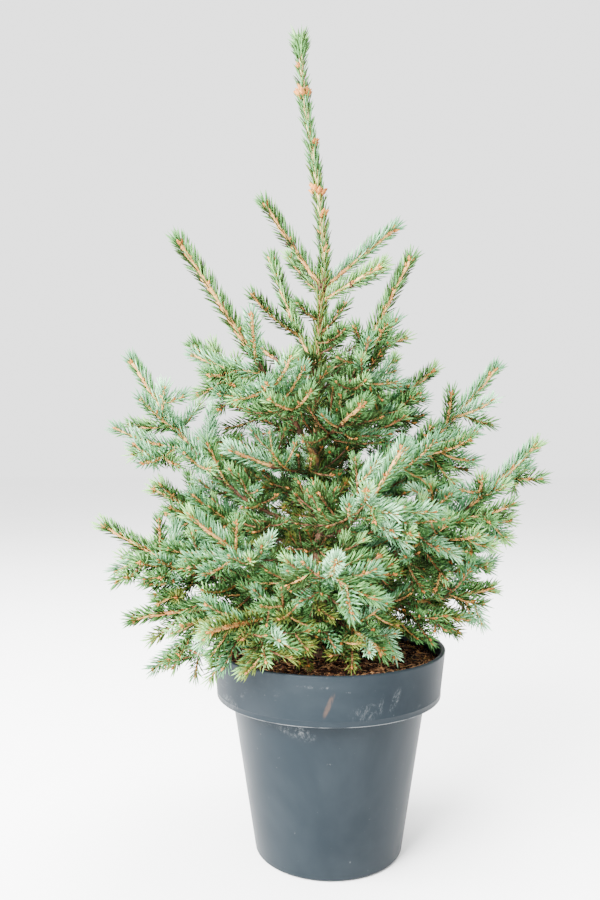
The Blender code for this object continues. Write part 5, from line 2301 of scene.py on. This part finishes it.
@dataclass
class Soil:
    """The peat: a rough surface with crumbs, fibres and fallen needles on it."""

    top: float = 0.2105
    radius: float = 0.1258
    sides: int = 120
    rings: int = 46
    crumbs: int = 2600
    fibres: int = 520
    litter: int = 420
    finish: PeatFinish = PeatFinish()
    bits: PlainTwigFinish = PlainTwigFinish("peat_bits", (0.1, 0.034, 0.011), (0.02, 0.007, 0.003))
    chips: PlainTwigFinish = PlainTwigFinish("peat_chips", (0.44, 0.21, 0.08), (0.12, 0.048, 0.018))
    fibre: PlainTwigFinish = PlainTwigFinish("peat_fibre", (0.52, 0.28, 0.13), (0.1, 0.042, 0.016))
    fallen: PlainTwigFinish = PlainTwigFinish("fallen_needle", (0.36, 0.2, 0.075), (0.13, 0.065, 0.026))
    roughness: tuple[Triple, ...] = ((0.0022, 55, 0), (0.0013, 190, 4))
    mound: float = 0.0012
    smooth_edge: Pair = (0.004, 0.2)
    depth: float = 0.03
    clear: Pair = (0.02, 1.0)
    crumb_sizes: Triple = (0.0006, 0.0022, 2.2)
    crumb_stretch: Pair = (0.6, 1.35)
    crumb_uneven: Pair = (0.8, 1.2)
    crumb_kinds: Pair = (0.6, 0.93)
    crumb_lift: float = 0.3
    litter_lengths: Pair = (0.006, 0.01)
    fibre_lengths: Pair = (0.008, 0.03)
    litter_bends: float = 4
    fibre_bends: float = 22
    lifts: Pair = (0.0002, 0.0014)
    litter_radius: float = 0.0005
    fibre_radii: Pair = (0.00022, 0.00055)
    end_width: float = 0.4
    seed: int = 31

    def height_at(self, x: float, y: float) -> float:
        """Find the height of the peat's rough surface, which is a low mound.

        Args:
            x: The place across.
            y: The place in depth.

        Returns:
            The height.
        """
        out = math.hypot(x, y)
        rough = 0.0
        for height, pitch, layer in self.roughness:
            rough += height * noise.noise(Vector((x * pitch, y * pitch, layer)))
        mound = self.mound * math.cos(min(out / self.radius, 1.0) * math.pi)
        edge = min(1.0, (self.radius - out) / self.smooth_edge[0] + self.smooth_edge[1])
        return self.top + rough * edge + mound

    def build(self) -> None:
        """Make the surface and what lies on it."""
        inner = [(self.radius * (1 - i / self.rings), self.top) for i in range(self.rings + 1)]
        foot = self.top - self.depth
        outline = [(0.0, foot), (self.radius - 0.0015, foot)] + inner
        bm = turned(outline, self.sides)
        for vert in bm.verts:
            if vert.co.z > self.top - 0.001:
                vert.co.z = self.height_at(vert.co.x, vert.co.y)
        surface = finish_piece(bm, "peat_surface", self.finish.material(), sharp=80.0)
        keep(surface, ("soil",))
        self.build_crumbs()
        self.build_fibres()

    def spot(self, rng: Rng) -> Array:
        """Find a random place on the surface, clear of the pot's wall and the trunk.

        Args:
            rng: The source of chance.

        Returns:
            The place.
        """
        out = math.sqrt(rng.uniform(*self.clear)) * (self.radius - 0.004)
        angle = rng.uniform(0, math.tau)
        x, y = out * math.cos(angle), out * math.sin(angle)
        return np.array((x, y, self.height_at(x, y)))

    def build_crumbs(self) -> None:
        """Make the crumbs: small uneven lumps."""
        rng = np.random.default_rng(self.seed)
        lump = bmesh.new()
        bmesh.ops.create_icosphere(lump, subdivisions=1, radius=1.0)
        bmesh.ops.triangulate(lump, faces=lump.faces[:])
        shape = np.array([vert.co for vert in lump.verts])
        faces = np.array([[vert.index for vert in face.verts] for face in lump.faces])
        lump.free()
        batch = MeshBatch()
        least, more, power = self.crumb_sizes
        for _ in range(self.crumbs):
            size = least + more * rng.random() ** power
            stretch = rng.uniform(*self.crumb_stretch, 3) * size
            uneven = shape * stretch * rng.uniform(*self.crumb_uneven, (len(shape), 1))
            angle = rng.uniform(0, 6.3)
            turn = np.array(Matrix.Rotation(angle, 3, Vector(rng.normal(size=3)).normalized()))
            kind = int(np.searchsorted(self.crumb_kinds, rng.random()))
            batch.add(uneven @ turn.T + self.spot(rng) + UP * (self.crumb_lift * size), faces, kind)
        materials = (bpy.data.materials["peat_crumbs"], self.bits.material(), self.chips.material())
        keep(batch.build("peat_lumps", materials), ("soil",))

    def build_fibres(self) -> None:
        """Make the tan fibres and the fallen needles."""
        rng = np.random.default_rng(self.seed + 1)
        batch = MeshBatch()
        for i in range(self.fibres + self.litter):
            fallen = i >= self.fibres
            length = rng.uniform(*(self.litter_lengths if fallen else self.fibre_lengths))
            count = 3 if fallen else 7
            start = self.spot(rng)
            bearing = rng.uniform(0, 360)
            line = [start + UP * 0.0004]
            for _ in range(count):
                bearing += rng.normal(0, self.litter_bends if fallen else self.fibre_bends)
                ahead = line[-1] + level_way(bearing) * (length / count)
                ahead[2] = self.height_at(ahead[0], ahead[1]) + rng.uniform(*self.lifts)
                line.append(ahead)
            line = np.array(line)
            if np.hypot(line[:, 0], line[:, 1]).max() > self.radius - 0.002:
                continue
            thick = self.litter_radius if fallen else rng.uniform(*self.fibre_radii)
            radii = np.full(len(line), thick)
            radii[[0, -1]] *= self.end_width
            batch.add(*tube(line, radii, 4), int(fallen))
        materials = (self.fibre.material(), self.fallen.material())
        keep(batch.build("peat_fibres", materials), ("soil",))


@dataclass
class Studio:
    """The pale floor, the soft light and the camera at the photograph's view."""

    camera_at: Triple = (-0.032, -0.9, 0.444)
    lens: float = 31.9
    surround: float = 2.5
    floor_grain: Grain = Grain(3.0, 2)
    floor_stops: Pair = (0.3, 0.7)
    floor_colours: tuple[Triple, ...] = ((0.955, 0.955, 0.955), (0.97, 0.97, 0.97))
    floor_shine: Pair = (0.9, 0.5)
    floor_half: float = 12.0
    floor_low: float = -0.0005
    aim: Triple = (0, 0, 0.42)
    sensor: float = 36.0
    clip: float = 0.02

    def build(self) -> None:
        """Make the stage, the lights and the camera."""
        self.build_stage()
        self.build_lights()
        self.build_camera()

    def build_stage(self) -> None:
        """A floor that is wide enough to fill every view."""
        bm = bmesh.new()
        bmesh.ops.create_grid(bm, x_segments=1, y_segments=1, size=self.floor_half)
        board = NodeBoard("studio_floor")
        grain = board.clouds(board.place(), self.floor_grain)
        board.dress(board.ramp(grain, self.floor_stops, self.floor_colours), *self.floor_shine)
        bmesh.ops.translate(bm, verts=bm.verts[:], vec=(0, 0, self.floor_low))
        finish_piece(bm, "studio_floor", board.material)

    def build_lights(self) -> None:
        """A bright even surround, with a large soft key from the upper left."""
        world = bpy.data.worlds.new("studio")
        world.use_nodes = True
        world.node_tree.nodes["Background"].inputs["Color"].default_value = (1.0, 1.0, 1.0, 1.0)
        world.node_tree.nodes["Background"].inputs["Strength"].default_value = self.surround
        bpy.context.scene.world = world
        self.panel("key", (-1.3, -1.9, 2.0), 1.3, 460.0)
        self.panel("top", (0.3, 0.4, 2.6), 1.4, 170.0)
        self.panel("side", (-2.0, -0.6, 1.0), 1.5, 250.0)

    def panel(self, name: str, place: Triple, size: float, power: float) -> None:
        """Add one soft square light that faces the crown.

        Args:
            name: Its name.
            place: Where it stands.
            size: The length of its sides.
            power: Its power.
        """
        light = bpy.data.lights.new(name, "AREA")
        light.size = size
        light.energy = power
        thing = add_object(name, light)
        thing.location = place
        aim = Vector(self.aim) - Vector(place)
        thing.rotation_euler = aim.to_track_quat("-Z", "Y").to_euler()

    def build_camera(self) -> None:
        """The camera that took the photograph's place."""
        camera = bpy.data.cameras.new("camera")
        camera.lens = self.lens
        camera.sensor_width = self.sensor
        camera.clip_start = self.clip
        thing = add_object("camera", camera)
        thing.location = self.camera_at
        thing.rotation_euler = (math.radians(90), 0, 0)
        bpy.context.scene.camera = thing


def main() -> None:
    """Build every piece in order."""
    logging.basicConfig(level=logging.INFO, format="%(message)s")
    studio = Studio()
    studio.build()
    crown = Crown()
    crown.grow()
    LOG.info("crown: %d shoots by the rule of the solids", len(crown.shoots))
    crown.grow_fine()
    crown.deal_looks()
    LOG.info("crown: %d shoots with the fine twigs", len(crown.shoots))
    limbs = Limbs()
    limbs.build_trunk()
    limbs.build_boughs()
    dressing = Dressing(crown)
    dressing.build_needles()
    dressing.build_twigs()
    Buds(crown).build()
    Pot().build()
    Soil().build()
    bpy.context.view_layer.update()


if __name__ == "__main__":
    main()
